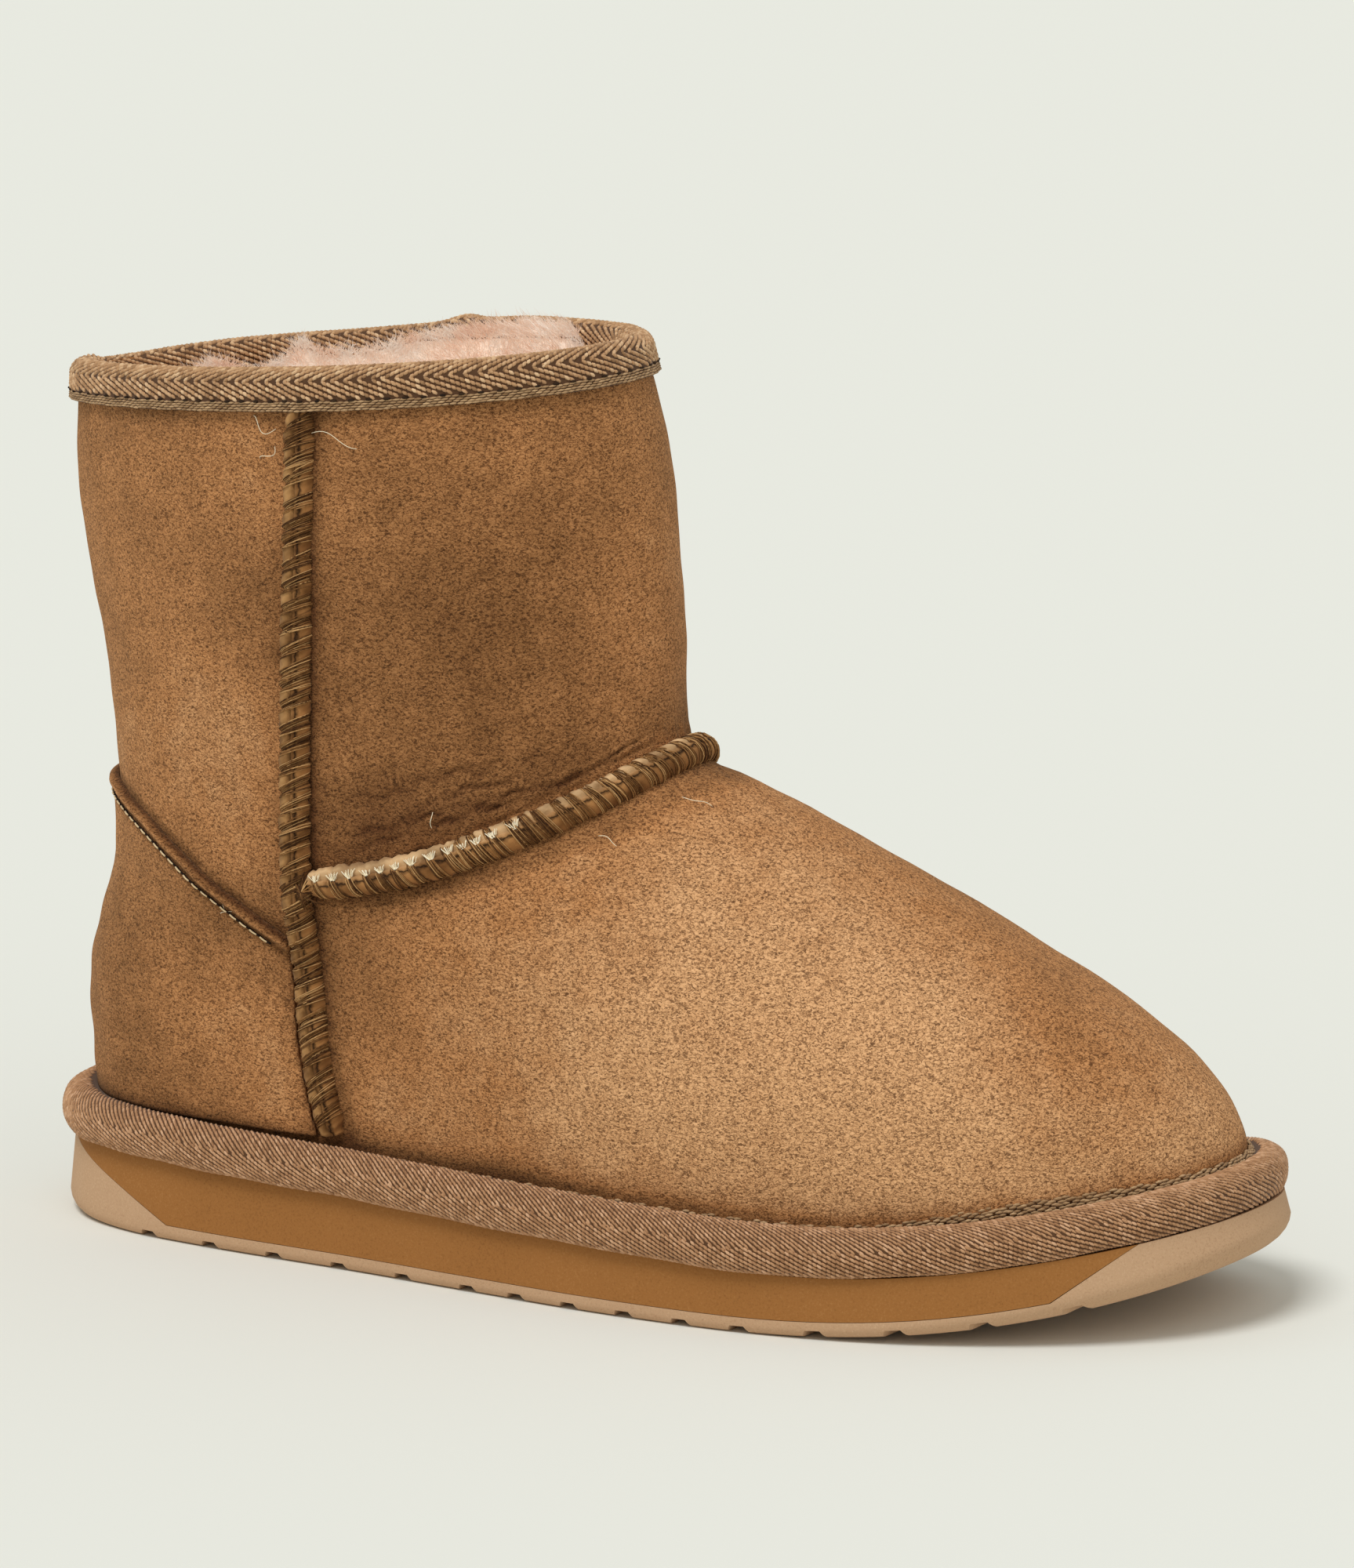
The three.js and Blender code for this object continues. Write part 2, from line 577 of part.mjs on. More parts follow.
function sideSeam(side) {
  const low = FEATHER + WELT_HEIGHT + GAP + SEAM_STOP;
  const under = placeOnUpper(seamX(BOOT_HEIGHT), BOOT_HEIGHT, side);
  const high = upperFace(under.turn, 1 - TAPE_OUTSIDE / UPPER_RISE).z - 2 * GAP;
  const points = shares(10).map((share) => {
    const height = mix(low, high, share);
    const { turn, up } = placeOnUpper(seamX(height), height, side);
    return onUpper(turn, up, -SEAM_SINK);
  });
  return geometryOf(seamRoll(points));
}

function instepSeam() {
  const end = instepEnd();
  const points = shares(16).map((share) => {
    const signed = mix(-end, end, share);
    return onUpper(signed < 0 ? signed + 2 * Math.PI : signed, INSTEP_LEVEL, -SEAM_SINK);
  });
  return geometryOf(seamRoll(points));
}

// The turn at which the instep seam stops, just ahead of the side seams.
function instepEnd() {
  const meeting = upperFace(Math.PI / 2, INSTEP_LEVEL).z;
  const stop = seamX(meeting) + 2 * SEAM_RADIUS + GAP;
  const back = SOLE_LENGTH * read(SECTIONS, 'up', INSTEP_LEVEL, 'back');
  const front = SOLE_LENGTH * read(SECTIONS, 'up', INSTEP_LEVEL, 'front');
  return Math.acos((2 * (stop - back)) / (front - back) - 1);
}

// Finishes
const finish = (color, roughness) => new THREE.MeshStandardMaterial({ color, roughness, metalness: 0 });
const paleFoam = finish(0xbd9b78, 0.85);
const ochreFoam = finish(0x9a6a38, 0.85);
const wovenTape = finish(0x9a7350, 0.8);
const suede = finish(0x9b6e3f, 0.95);
const thread = finish(0x8f6f45, 0.8);
const wool = finish(0xcdb096, 1);

const boot = new THREE.Group();
function place(name, geometry, material) {
  const mesh = new THREE.Mesh(geometry, material);
  mesh.name = name;
  boot.add(mesh);
}

place('outsole', outsole(), paleFoam);
place('midsole', midsole(), ochreFoam);
place('welt_binding', welt(), wovenTape);
place('insole', insole(), wool);
place('upper', upper(), suede);
place('wool_lining', lining(), wool);
place('heel_counter', heelCounter(), suede);
place('collar_binding', collarTape(), wovenTape);
place('side_seam_outer', sideSeam(-1), thread);
place('side_seam_inner', sideSeam(1), thread);
place('instep_seam', instepSeam(), thread);

const footprint = new THREE.Box3().setFromObject(boot);
const middle = footprint.getCenter(new THREE.Vector3());
boot.position.set(-middle.x, -middle.y, -footprint.min.z);

export default boot;
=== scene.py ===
"""Sheepskin boot, right foot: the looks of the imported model.

Sizes are in millimetres from the back of the sole, and metres() places them in the model's frame.
A turn goes round the boot: 0 at the toe tip, along the inner side, and pi at the heel.
"""

import math

import bpy
import numpy as np
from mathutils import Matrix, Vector


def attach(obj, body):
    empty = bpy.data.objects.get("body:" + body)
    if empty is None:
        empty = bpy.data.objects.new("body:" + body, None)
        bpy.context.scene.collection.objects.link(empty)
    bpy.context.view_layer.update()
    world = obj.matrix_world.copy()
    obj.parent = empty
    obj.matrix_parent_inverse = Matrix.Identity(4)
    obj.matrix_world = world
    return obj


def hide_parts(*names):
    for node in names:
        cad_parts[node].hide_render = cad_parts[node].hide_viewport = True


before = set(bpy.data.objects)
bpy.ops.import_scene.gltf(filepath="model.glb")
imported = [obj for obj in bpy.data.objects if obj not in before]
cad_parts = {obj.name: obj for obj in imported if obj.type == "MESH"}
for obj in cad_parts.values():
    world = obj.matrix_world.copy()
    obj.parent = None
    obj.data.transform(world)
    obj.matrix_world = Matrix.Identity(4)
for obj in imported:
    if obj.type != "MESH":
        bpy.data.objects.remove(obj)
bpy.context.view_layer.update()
dice = np.random.default_rng(11)

# Sizes of the boot, as in the part
CENTRE = (132.4, 0.228, 0.0)
SOLE_LENGTH = 266
BALL_WIDTH = 97
HEEL_RADIUS = 30
TOE_RADIUS = 41
AXIS_SWING = 9
HEEL_THICKNESS = 17.5
TOE_SPRING = 15
SPRING_CURVE = 2.35
SPRING_START = 0.64
OUTSOLE_FLOOR = 3.4
SIDE_LEAN = 1.4
SIDE_TUCK = 0.9
EDGE_BEVEL = 2
HEEL_BEVEL = 3.8
TOE_BEVEL = 4.6
GROOVE_DEPTH = 1.5
GROOVE_FLOOR = 3
GROOVE_MOUTH = 4.7
GROOVE_VEE = 7
BOOT_HEIGHT = 187
UPPER_WIDTH = 80
SHAFT_WIDTH = 69
SKIN = 3
WOOL = 8
INSOLE_THICKNESS = 5
GAP = 0.3
WELT_HEIGHT = 9
WELT_OVERHANG = 1.2
WELT_TOE_OVERHANG = -1
TAPE = 1.2
TAPE_OUTSIDE = 6.8
TAPE_INSIDE = 9
COUNTER_THICKNESS = 1.2
SEAM_RADIUS = 3.4
SEAM_SINK = 0.4
MIDSOLE_HEEL = (5, 38, 1.3)  # top, foot and forward bow of its joint
MIDSOLE_TOE = (16, 30, 0)  # the same, measured back from the tip
FEATHER = HEEL_THICKNESS + GAP
UPPER_RISE = BOOT_HEIGHT - FEATHER
LIFT_END = 0.42
INSTEP_LEVEL = 0.518
DROP_TURN = math.radians(100)
RIM = 1 - (TAPE_INSIDE + GAP) / UPPER_RISE

# along, inner half-width, outer half-width
SOLE_PLAN = [
    (0.97, 0.262, 0.24), (0.93, 0.356, 0.338), (0.86, 0.434, 0.432), (0.76, 0.476, 0.505),
    (0.66, 0.472, 0.53), (0.54, 0.43, 0.512), (0.42, 0.38, 0.464), (0.3, 0.362, 0.414),
    (0.18, 0.366, 0.374), (0.1, 0.334, 0.328), (0.04, 0.25, 0.242),
]
# along, thickness
SOLE_SIDE = [
    (0, 1), (0.25, 0.9), (0.5, 0.79), (0.7, 0.7), (0.88, 0.665), (0.95, 0.61), (1, 0.535),
]
# first, pitch, count
TREAD = [(0.124, 0.0608, 6), (0.473, 0.0485, 4), (0.666, 0.0585, 5)]
# height, along
SIDE_SEAM = [
    (0.14, 0.289), (0.22, 0.277), (0.3, 0.271), (0.42, 0.268), (0.6, 0.268), (0.8, 0.27), (0.95, 0.27),
]
# along, height
COUNTER_EDGE = [
    (-0.02, 0.502), (0.04, 0.5), (0.07, 0.492), (0.12, 0.465), (0.17, 0.425), (0.22, 0.384),
    (0.28, 0.335),
]
# reach, rise
WELT_SECTION = [
    (0, 0), (0.78, 0), (0.95, 0.14), (1, 0.42), (0.93, 0.72), (0.7, 0.93), (0.42, 1), (0.16, 0.93),
    (0, 0.8),
]
# up, drop, tilt, back, front, width, shaft, egg
SECTIONS = [
    (0, 0, 0, 0.031, 0.966, 1, 0, 0), (0.058, 0, 0, 0.027, 0.968, 1.02, 0, 0),
    (0.095, 0.002, 0, 0.026, 0.963, 1.035, 0.02, 0), (0.135, 0.01, 0, 0.025, 0.951, 1.04, 0.05, 0),
    (0.178, 0.022, 0, 0.024, 0.93, 1.035, 0.09, 0), (0.22, 0.036, 0, 0.024, 0.899, 1.022, 0.14, 0),
    (0.263, 0.052, 0, 0.025, 0.858, 1.006, 0.2, 0), (0.305, 0.07, 0, 0.028, 0.808, 0.99, 0.28, 0),
    (0.353, 0.092, 0, 0.033, 0.746, 0.976, 0.38, 0), (0.401, 0.114, 0, 0.038, 0.682, 0.968, 0.5, 0),
    (0.448, 0.136, 0, 0.043, 0.619, 0.963, 0.64, 0), (0.484, 0.152, 0, 0.047, 0.573, 0.96, 0.78, 0),
    (0.516, 0.158, 0, 0.049, 0.53, 0.958, 0.91, 0), (0.57, 0.138, 0.004, 0.047, 0.518, 0.955, 1, 0.02),
    (0.66, 0.09, 0.018, 0.036, 0.515, 0.945, 1, 0.06), (0.77, 0.042, 0.038, 0.018, 0.509, 0.927, 1, 0.12),
    (0.88, 0.012, 0.056, 0.005, 0.5, 0.897, 1, 0.19), (1, 0, 0.069, 0.006, 0.478, 0.862, 1, 0.25),
]
BACK, FRONT, WIDTH = 3, 4, 5  # columns of SECTIONS
BELOW_TOP = 0.995  # the highest share at which the hide's face has a sure normal


def metres(points):
    """Millimetres from the back of the sole to metres in the model's frame."""
    return (np.asarray(points, float) - CENTRE) / 1000


def pair(first, second):
    """Two values as arrays of one shape."""
    return np.broadcast_arrays(np.asarray(first, float), np.asarray(second, float))


def mix(low, high, share):
    return low + (high - low) * share


def ease(share):
    share = np.clip(share, 0, 1)
    return share * share * (3 - 2 * share)


def hump(distance, width):
    """A soft ridge, 1 at no distance and gone at about twice the width."""
    return np.exp(-((distance / width) ** 2))


def read(table, at, column=1):
    """Smooth curve through a table's rows, by their first column."""
    rows = np.array(sorted(table), float)
    keys, values = rows[:, 0], rows[:, column]
    at = np.clip(at, keys[0], keys[-1])
    low = np.clip(np.searchsorted(keys, at) - 1, 0, len(keys) - 2)
    before = np.maximum(np.arange(len(keys)) - 1, 0)
    after = np.minimum(np.arange(len(keys)) + 1, len(keys) - 1)
    slope = (values[after] - values[before]) / (keys[after] - keys[before])
    span = keys[low + 1] - keys[low]
    t = (at - keys[low]) / span
    return (
        (2 * t**3 - 3 * t**2 + 1) * values[low]
        + (t**3 - 2 * t**2 + t) * span * slope[low]
        + (3 * t**2 - 2 * t**3) * values[low + 1]
        + (t**3 - t**2) * span * slope[low + 1]
    )


def fullness_table():
    """The plan as half-width over the sine of the turn, which is never zero."""
    ends = [math.sqrt(radius * SOLE_LENGTH / 2) / BALL_WIDTH for radius in (TOE_RADIUS, HEEL_RADIUS)]
    rows = [(0, ends[0], ends[0]), (math.pi, ends[1], ends[1])]
    for along, inner, outer in SOLE_PLAN:
        turn = math.acos(2 * along - 1)
        rows.append((turn, inner / math.sin(turn), outer / math.sin(turn)))
    return rows


FULLNESS = fullness_table()


def signed_turn(turn):
    """The turn from -pi to pi, below zero on the outer side."""
    return np.mod(turn + np.pi, 2 * np.pi) - np.pi


def foot_half(turn):
    turn = np.mod(turn, 2 * np.pi)
    folded = np.minimum(turn, 2 * np.pi - turn)
    full = np.where(turn <= np.pi, read(FULLNESS, folded, 1), read(FULLNESS, folded, 2))
    return np.sin(turn) * full


def spring_share(x):
    start = SPRING_START * SOLE_LENGTH
    return np.clip((x - start) / (SOLE_LENGTH - start), 0, 1)


def sole_under(x):
    return TOE_SPRING * spring_share(x) ** SPRING_CURVE


def sole_top(x):
    return sole_under(x) + HEEL_THICKNESS * read(SOLE_SIDE, x / SOLE_LENGTH)


def plan_point(turn, outwards=0.0):
    """The sole's outline from above, moved outwards."""

    def at(angle):
        along = (1 + np.cos(angle)) / 2
        return along * SOLE_LENGTH, AXIS_SWING * along**3 + foot_half(angle) * BALL_WIDTH

    x, y = at(turn)
    x1, y1 = at(turn + 0.01)
    x0, y0 = at(turn - 0.01)
    length = np.hypot(x1 - x0, y1 - y0)
    return x + (y1 - y0) / length * outwards, y - (x1 - x0) / length * outwards


def upper_face(turn, up):
    """The hide's outer face on the last."""
    turn, up = pair(turn, up)
    beyond = np.maximum(up - 1, 0) * UPPER_RISE
    drop, tilt, back, front, wide, shaft, egg = (read(SECTIONS, up, c) for c in range(1, 8))
    along = (1 + np.cos(turn)) / 2
    x = SOLE_LENGTH * mix(back, front, along)
    width = mix(UPPER_WIDTH, SHAFT_WIDTH / SECTIONS[-1][WIDTH], shaft) * wide
    oval = np.sin(turn) / 2 * (1 + egg * np.cos(turn))
    half = mix(foot_half(turn), oval, shaft) * width
    swing = AXIS_SWING * along**3 * (1 - shaft)
    folded = np.mod(turn, 2 * np.pi)
    folded = np.minimum(folded, 2 * np.pi - folded)
    fall = ease(folded / DROP_TURN) * drop + (1 - along) * tilt
    lift = (sole_top(x) - HEEL_THICKNESS) * np.clip(1 - up / LIFT_END, 0, 1) ** 2
    z = FEATHER + (np.minimum(up, 1) - fall) * UPPER_RISE + lift + beyond
    return np.stack([x, swing + half, z], -1)


def unit(vectors):
    return vectors / np.maximum(np.linalg.norm(vectors, axis=-1, keepdims=True), 1e-9)


def upper_normal(turn, up):
    step = 0.004
    around = upper_face(turn + step, up) - upper_face(turn - step, up)
    rise = upper_face(turn, np.minimum(1, up + step)) - upper_face(turn, np.maximum(0, up - step))
    return unit(np.cross(around, rise))


def on_upper(turn, up, outwards):
    return upper_face(turn, up) + upper_normal(turn, up) * np.asarray(outwards, float)[..., None]


def ends_at(up):
    """The hide's back and front at a share of height."""
    return SOLE_LENGTH * read(SECTIONS, up, BACK), SOLE_LENGTH * read(SECTIONS, up, FRONT)


def climb(height, turn_at, halvings):
    """Turn and share of height at which the hide's face reaches a height."""
    low, high = np.zeros_like(height), np.ones_like(height)
    for _ in range(halvings):
        up = (low + high) / 2
        turn = turn_at(up)
        below = upper_face(turn, up)[..., 2] < height
        low, high = np.where(below, up, low), np.where(below, high, up)
    return turn, up


def place_on_upper(x, height, side):
    """Turn and share of height of the hide's face at an x and height, side 1 inner, -1 outer."""
    x, height = pair(x, height)

    def turn_at(up):
        back, front = ends_at(up)
        turn = np.arccos(2 * np.clip((x - back) / (front - back), 0, 1) - 1)
        return turn if side > 0 else 2 * np.pi - turn

    return climb(height, turn_at, 26)


def seam_x(height):
    return SOLE_LENGTH * read(SIDE_SEAM, height / BOOT_HEIGHT)


def counter_top(x):
    return BOOT_HEIGHT * read(COUNTER_EDGE, x / SOLE_LENGTH)


def running(line):
    """Length along a line of points, from its start."""
    return np.concatenate([[0], np.cumsum(np.linalg.norm(np.diff(line, axis=0), axis=1))])


def sampled(run, line, at):
    """Points of a line at running lengths."""
    return np.stack([np.interp(at, run, column) for column in line.T], -1)


def ripple(points, size, seed):
    """Smooth unevenness between about -1 and 1, in lumps of about that size."""
    made = np.zeros(points.shape[:-1])
    picks = np.random.default_rng(seed)
    for _ in range(7):
        way = unit(picks.normal(size=3)) * 2 * np.pi / (size * picks.uniform(1.3, 3.0))
        made += np.sin(points @ way + picks.uniform(0, 2 * np.pi))
    return made / 3.2


# Small tools for meshes


def pick(piece):
    bpy.ops.object.select_all(action="DESELECT")
    piece.select_set(True)
    bpy.context.view_layer.objects.active = piece


def edited(step, **settings):
    """Runs one operator on the whole of the active mesh in edit mode."""
    bpy.ops.object.mode_set(mode="EDIT")
    bpy.ops.mesh.select_all(action="SELECT")
    step(**settings)
    bpy.ops.object.mode_set(mode="OBJECT")


def shade(data, tone):
    """Stores how light each point of a mesh is."""
    data.attributes.new("tone", "FLOAT", "POINT").data.foreach_set("value", tone.astype(np.float32))


def lay_grid(name, columns, rows, laid, ring=True):
    """A flat grid of cloth laid on a surface: laid(u, v) gives its points and flat coordinates."""
    bpy.ops.object.select_all(action="DESELECT")
    bpy.ops.mesh.primitive_grid_add(x_subdivisions=columns, y_subdivisions=rows, size=1)
    piece = bpy.context.object
    piece.name = piece.data.name = name
    flat = np.empty(len(piece.data.vertices) * 3, np.float32)
    piece.data.vertices.foreach_get("co", flat)
    x, y, _ = flat.reshape(-1, 3).astype(float).T + 0.5
    u = np.round(x * columns) / columns
    v = np.round(y * rows) / rows
    points, cloth, *tone = laid(u, v)
    piece.data.vertices.foreach_set("co", metres(points).astype(np.float32).ravel())
    corner = np.empty(len(piece.data.loops), np.int32)
    piece.data.loops.foreach_get("vertex_index", corner)
    cloth = np.stack(cloth, -1)[corner].astype(np.float32)
    piece.data.uv_layers.active.data.foreach_set("uv", cloth.ravel())
    if tone:
        shade(piece.data, tone[0])
    if ring:
        edited(bpy.ops.mesh.remove_doubles, threshold=2e-6)
    piece.data.update()
    return piece


def face_outwards(piece):
    pick(piece)
    edited(bpy.ops.mesh.normals_make_consistent, inside=False)


def finished(piece, kind, **settings):
    """Adds one modifier and applies it."""
    pick(piece)
    made = piece.modifiers.new(kind.title(), kind)
    for key, value in settings.items():
        setattr(made, key, value)
    bpy.ops.object.modifier_apply(modifier=made.name)


def thicken(piece, depth):
    """Gives a skin its thickness inwards, in millimetres."""
    finished(piece, "SOLIDIFY", thickness=depth / 1000, offset=-1)


def fit(piece, material, slot, *nodes, sharp=None):
    """Gives a piece its finish and its place in the model."""
    pick(piece)
    if sharp:
        bpy.ops.object.shade_smooth_by_angle(angle=math.radians(sharp))
    else:
        bpy.ops.object.shade_smooth()
    piece.data.materials.clear()
    piece.data.materials.append(material)
    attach(piece, "root")
    if nodes:
        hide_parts(*nodes)


def joined(name, points, faces, tone=None):
    """One mesh of many small things."""
    data = bpy.data.meshes.new(name)
    data.from_pydata(metres(points), [], faces)
    if tone is not None:
        shade(data, tone)
    piece = bpy.data.objects.new(name, data)
    bpy.context.collection.objects.link(piece)
    return piece


def grain_form():
    """One yarn float: the upper half of a coarse ball, with its points in x."""
    bpy.ops.object.select_all(action="DESELECT")
    bpy.ops.mesh.primitive_uv_sphere_add(segments=6, ring_count=4, radius=1)
    ball = bpy.context.object
    edited(bpy.ops.mesh.bisect, plane_co=(0, 0, -0.01), plane_no=(0, 0, 1), clear_inner=True)
    place = np.array([v.co for v in ball.data.vertices])
    faces = [list(face.vertices) for face in ball.data.polygons]
    bpy.data.objects.remove(ball)
    return place, faces


def sown(name, spots, length, width, height, form, tone):
    """Copies of one form, with its three axes given as vectors at each spot."""
    points, faces = form
    axes = np.stack([length, width, height], 1)
    laid = spots[:, None, :] + np.einsum("pk,nkc->npc", points, axes)
    base = np.arange(len(spots)) * len(points)
    every = [[i + b for i in face] for b in base.tolist() for face in faces]
    return joined(name, laid.reshape(-1, 3), every, np.repeat(tone, len(points)))


def threads(name, strands, sides, material, slot="seam_roll"):
    """Round threads: each strand is a path, its radii, a way across it, and how light it is."""
    paths, radii, guide, tones = (np.array(part, float) for part in zip(*strands))
    count, steps, _ = paths.shape
    ahead = unit(np.gradient(paths, axis=1))
    first = unit(np.cross(ahead, guide[:, None, :]))
    second = np.cross(ahead, first)
    angle = np.arange(sides) * 2 * np.pi / sides
    around = np.cos(angle)[:, None] * first[:, :, None, :] + np.sin(angle)[:, None] * second[:, :, None, :]
    points = paths[:, :, None, :] + around * radii[..., None, None]
    place = np.arange(count * steps * sides).reshape(count, steps, sides)
    low, high = place[:, :-1], place[:, 1:]
    walls = np.stack([low, np.roll(low, -1, 2), np.roll(high, -1, 2), high], -1).reshape(-1, 4)
    ends = np.concatenate([place[:, 0, ::-1], place[:, -1]])
    shades = np.repeat(tones, steps * sides)
    fit(joined(name, points.reshape(-1, 3), walls.tolist() + ends.tolist(), shades), material, slot)


def blades(name, root, middle, tip, across, tone):
    """Flat hairs that taper to a point, across being half their width at the root."""
    points = np.stack([root - across, root + across, middle - across / 2, middle + across / 2, tip], 1)
    base = np.arange(len(root))[:, None] * 5
    faces = (base + [0, 1, 3, 2]).tolist() + (base + [2, 3, 4]).tolist()
    return joined(name, points.reshape(-1, 3), faces, np.repeat(tone, 5))


# Materials


def colour(text):
    """sRGB hex to linear."""
    parts = [int(text[i : i + 2], 16) / 255 for i in (1, 3, 5)]
    linear = [c / 12.92 if c <= 0.04045 else ((c + 0.055) / 1.055) ** 2.4 for c in parts]
    return (*linear, 1.0)


class Surface:
    """A new material with its shader, and short ways to the nodes that feed it."""

    def __init__(self, name, **constant):
        self.material = bpy.data.materials.new(name)
        self.material.use_nodes = True
        self.tree = self.material.node_tree
        self.tree.nodes.clear()
        self.shader = self.node("BsdfPrincipled", {k.replace("_", " "): v for k, v in constant.items()})
        self.node("OutputMaterial", {"Surface": self.shader.outputs[0]})
        self.where = self.node("TexCoord").outputs["Object"]

    def node(self, kind, links=None, **settings):
        """Adds a node, sets it up and links its inputs."""
        made = self.tree.nodes.new("ShaderNode" + kind)
        for key, value in settings.items():
            setattr(made, key, value)
        for socket, value in (links or {}).items():
            if isinstance(value, bpy.types.NodeSocket):
                self.tree.links.new(value, made.inputs[socket])
            else:
                made.inputs[socket].default_value = value
        return made

    def tone(self):
        """The lightness stored in a mesh's points."""
        return self.node("Attribute", attribute_name="tone").outputs["Fac"]

    def noise(self, size, detail, **more):
        """Unevenness in lumps of that many millimetres."""
        links = {"Vector": self.where, "Scale": 1000 / size, "Detail": detail, **more}
        return self.node("TexNoise", links).outputs["Fac"]

    def plus(self, base, value, share):
        """The base with a share of another value added."""
        return self.node("Math", {0: value, 1: share, 2: base}, operation="MULTIPLY_ADD").outputs[0]

    def times(self, base, other, share):
        """A colour multiplied by a share of another."""
        links = {0: share, 6: base, 7: other}
        return self.node("Mix", links, data_type="RGBA", blend_type="MULTIPLY").outputs[2]

    def ramp(self, value, *stops):
        made = self.node("ValToRGB", {"Fac": value})
        points = made.color_ramp.elements
        while len(points) < len(stops):
            points.new(0.5)
        for point, (place, shade) in zip(points, stops):
            point.position = place
            point.color = colour(shade)
        return made.outputs[0]

    def done(self, shade, height=None, depth=0, strength=0):
        """Links the colour, and a bump of that depth in millimetres."""
        self.tree.links.new(shade, self.shader.inputs["Base Color"])
        if depth:
            bump = self.node("Bump", {"Height": height, "Distance": depth / 1000, "Strength": strength})
            self.tree.links.new(bump.outputs[0], self.shader.inputs["Normal"])
        return self.material


def brushed_suede():
    # Sheepskin suede: the flesh side is buffed, so a matt short nap lies in soft clouds, lighter and darker
    # by the stored tone, which holds painted light and painted shade.
    made = Surface(
        "brushed_suede", Roughness=0.95, Sheen_Weight=0.25, Sheen_Roughness=0.45,
        Sheen_Tint=colour("#E0B88A"), Specular_IOR_Level=0.15,
    )
    lying = made.node("Mapping", {"Vector": made.where, "Scale": (1.0, 1.0, 1.6)}).outputs[0]
    grain = made.noise(0.62, 2, Vector=lying, Roughness=0.6, Distortion=1)
    clouds_and_painted_light = made.plus(made.plus(made.tone(), made.noise(42, 3), 0.5), made.noise(5, 3), 0.2)
    base = made.ramp(clouds_and_painted_light, (0, "#6E4628"), (0.22, "#A07045"), (0.4, "#CF9460"), (0.62, "#F0BB88"))
    # the nap's own flecks, with the grain's low pits painted darker as painted shade that follows the bump
    flecks_and_painted_shade = made.ramp(grain, (0.34, "#655548"), (0.45, "#B5AAA0"), (0.54, "#ECE6DF"), (0.64, "#FFFFFF"))
    return made.done(made.times(base, flecks_and_painted_shade, 0.9), grain, 0.4, 0.9)


def speckled_foam(name, base, dark, light, pore):
    # Expanded rubber foam: cut and buffed, so fine open pores speckle a matt skin.
    made = Surface(name, Roughness=0.85, Specular_IOR_Level=0.25)
    pores = made.noise(pore, 2, Roughness=0.7)
    mixed = made.plus(pores, made.noise(25, 2), 0.3)
    tint = made.ramp(mixed, (0.36, dark), (0.6, base), (0.72, base), (0.96, light))
    return made.done(tint, pores, 0.08, 0.5)


def spun_yarn(name, *stops, twist=0.5, sheen=0.15):
    # Spun cotton yarn: matt, each float a little lighter or darker, with fine twisted fibres.
    made = Surface(name, Roughness=0.8, Sheen_Weight=sheen, Specular_IOR_Level=0.2)
    return made.done(made.ramp(made.plus(made.tone(), made.noise(twist, 2), 0.4), *stops))


def cut_hide(name, pale, painted_highlight):
    # The seam's cut hide edges: pale on one side with a painted highlight on its crown, browner on the other,
    # with painted shade in the parting and where the roll tucks against the hide.
    made = Surface(name, Roughness=0.95, Sheen_Weight=0.05, Specular_IOR_Level=0.1)
    side = made.node("SeparateXYZ", {0: made.node("UVMap").outputs[0]}).outputs["X"]
    rough = made.noise(1.3, 3)
    tint = made.ramp(
        made.plus(side, rough, 0.08),
        # the first stop is painted shade where the roll meets the hide, the stop at 0.485 painted shade in
        # the parting, the stop at 0.62 a painted highlight on the pale crown
        (0.05, "#20140A"), (0.15, "#6A4525"), (0.30, "#966539"), (0.45, "#B07D4B"),
        (0.485, "#2A1A0E"), (0.505, pale), (0.62, painted_highlight), (0.80, pale),
    )
    wear = made.ramp(made.noise(6, 2), (0.35, "#A09488"), (0.6, "#FFFFFF"))
    return made.done(made.times(tint, wear, 0.8), rough, 0.3, 0.7)


def fleece(name, *stops):
    # Sheared sheep's wool: off-white fibres with a pink-beige root, with a faint painted glow from the
    # emission standing in for the light the fibres pass to each other.
    made = Surface(
        name, Roughness=1, Sheen_Weight=0.1, Sheen_Roughness=0.7, Specular_IOR_Level=0.1,
        Emission_Strength=0.08, Emission_Color=colour("#F7E6DF"),
    )
    return made.done(made.ramp(made.plus(made.tone(), made.noise(5, 3), 0.5), *stops))


def matt_paper():
    # Studio floor: plain matt paper in the photograph's pale grey-green.
    return Surface("studio_paper", Roughness=1, Specular_IOR_Level=0, Base_Color=colour("#EBECE5")).material


SUEDE = brushed_suede()
OCHRE_FOAM = speckled_foam("ochre_foam_rubber", "#A06B36", "#8A5A2B", "#AE7A45", 0.45)
PALE_FOAM = speckled_foam("pale_foam_rubber", "#C5A07D", "#B08A68", "#D2B08D", 0.4)
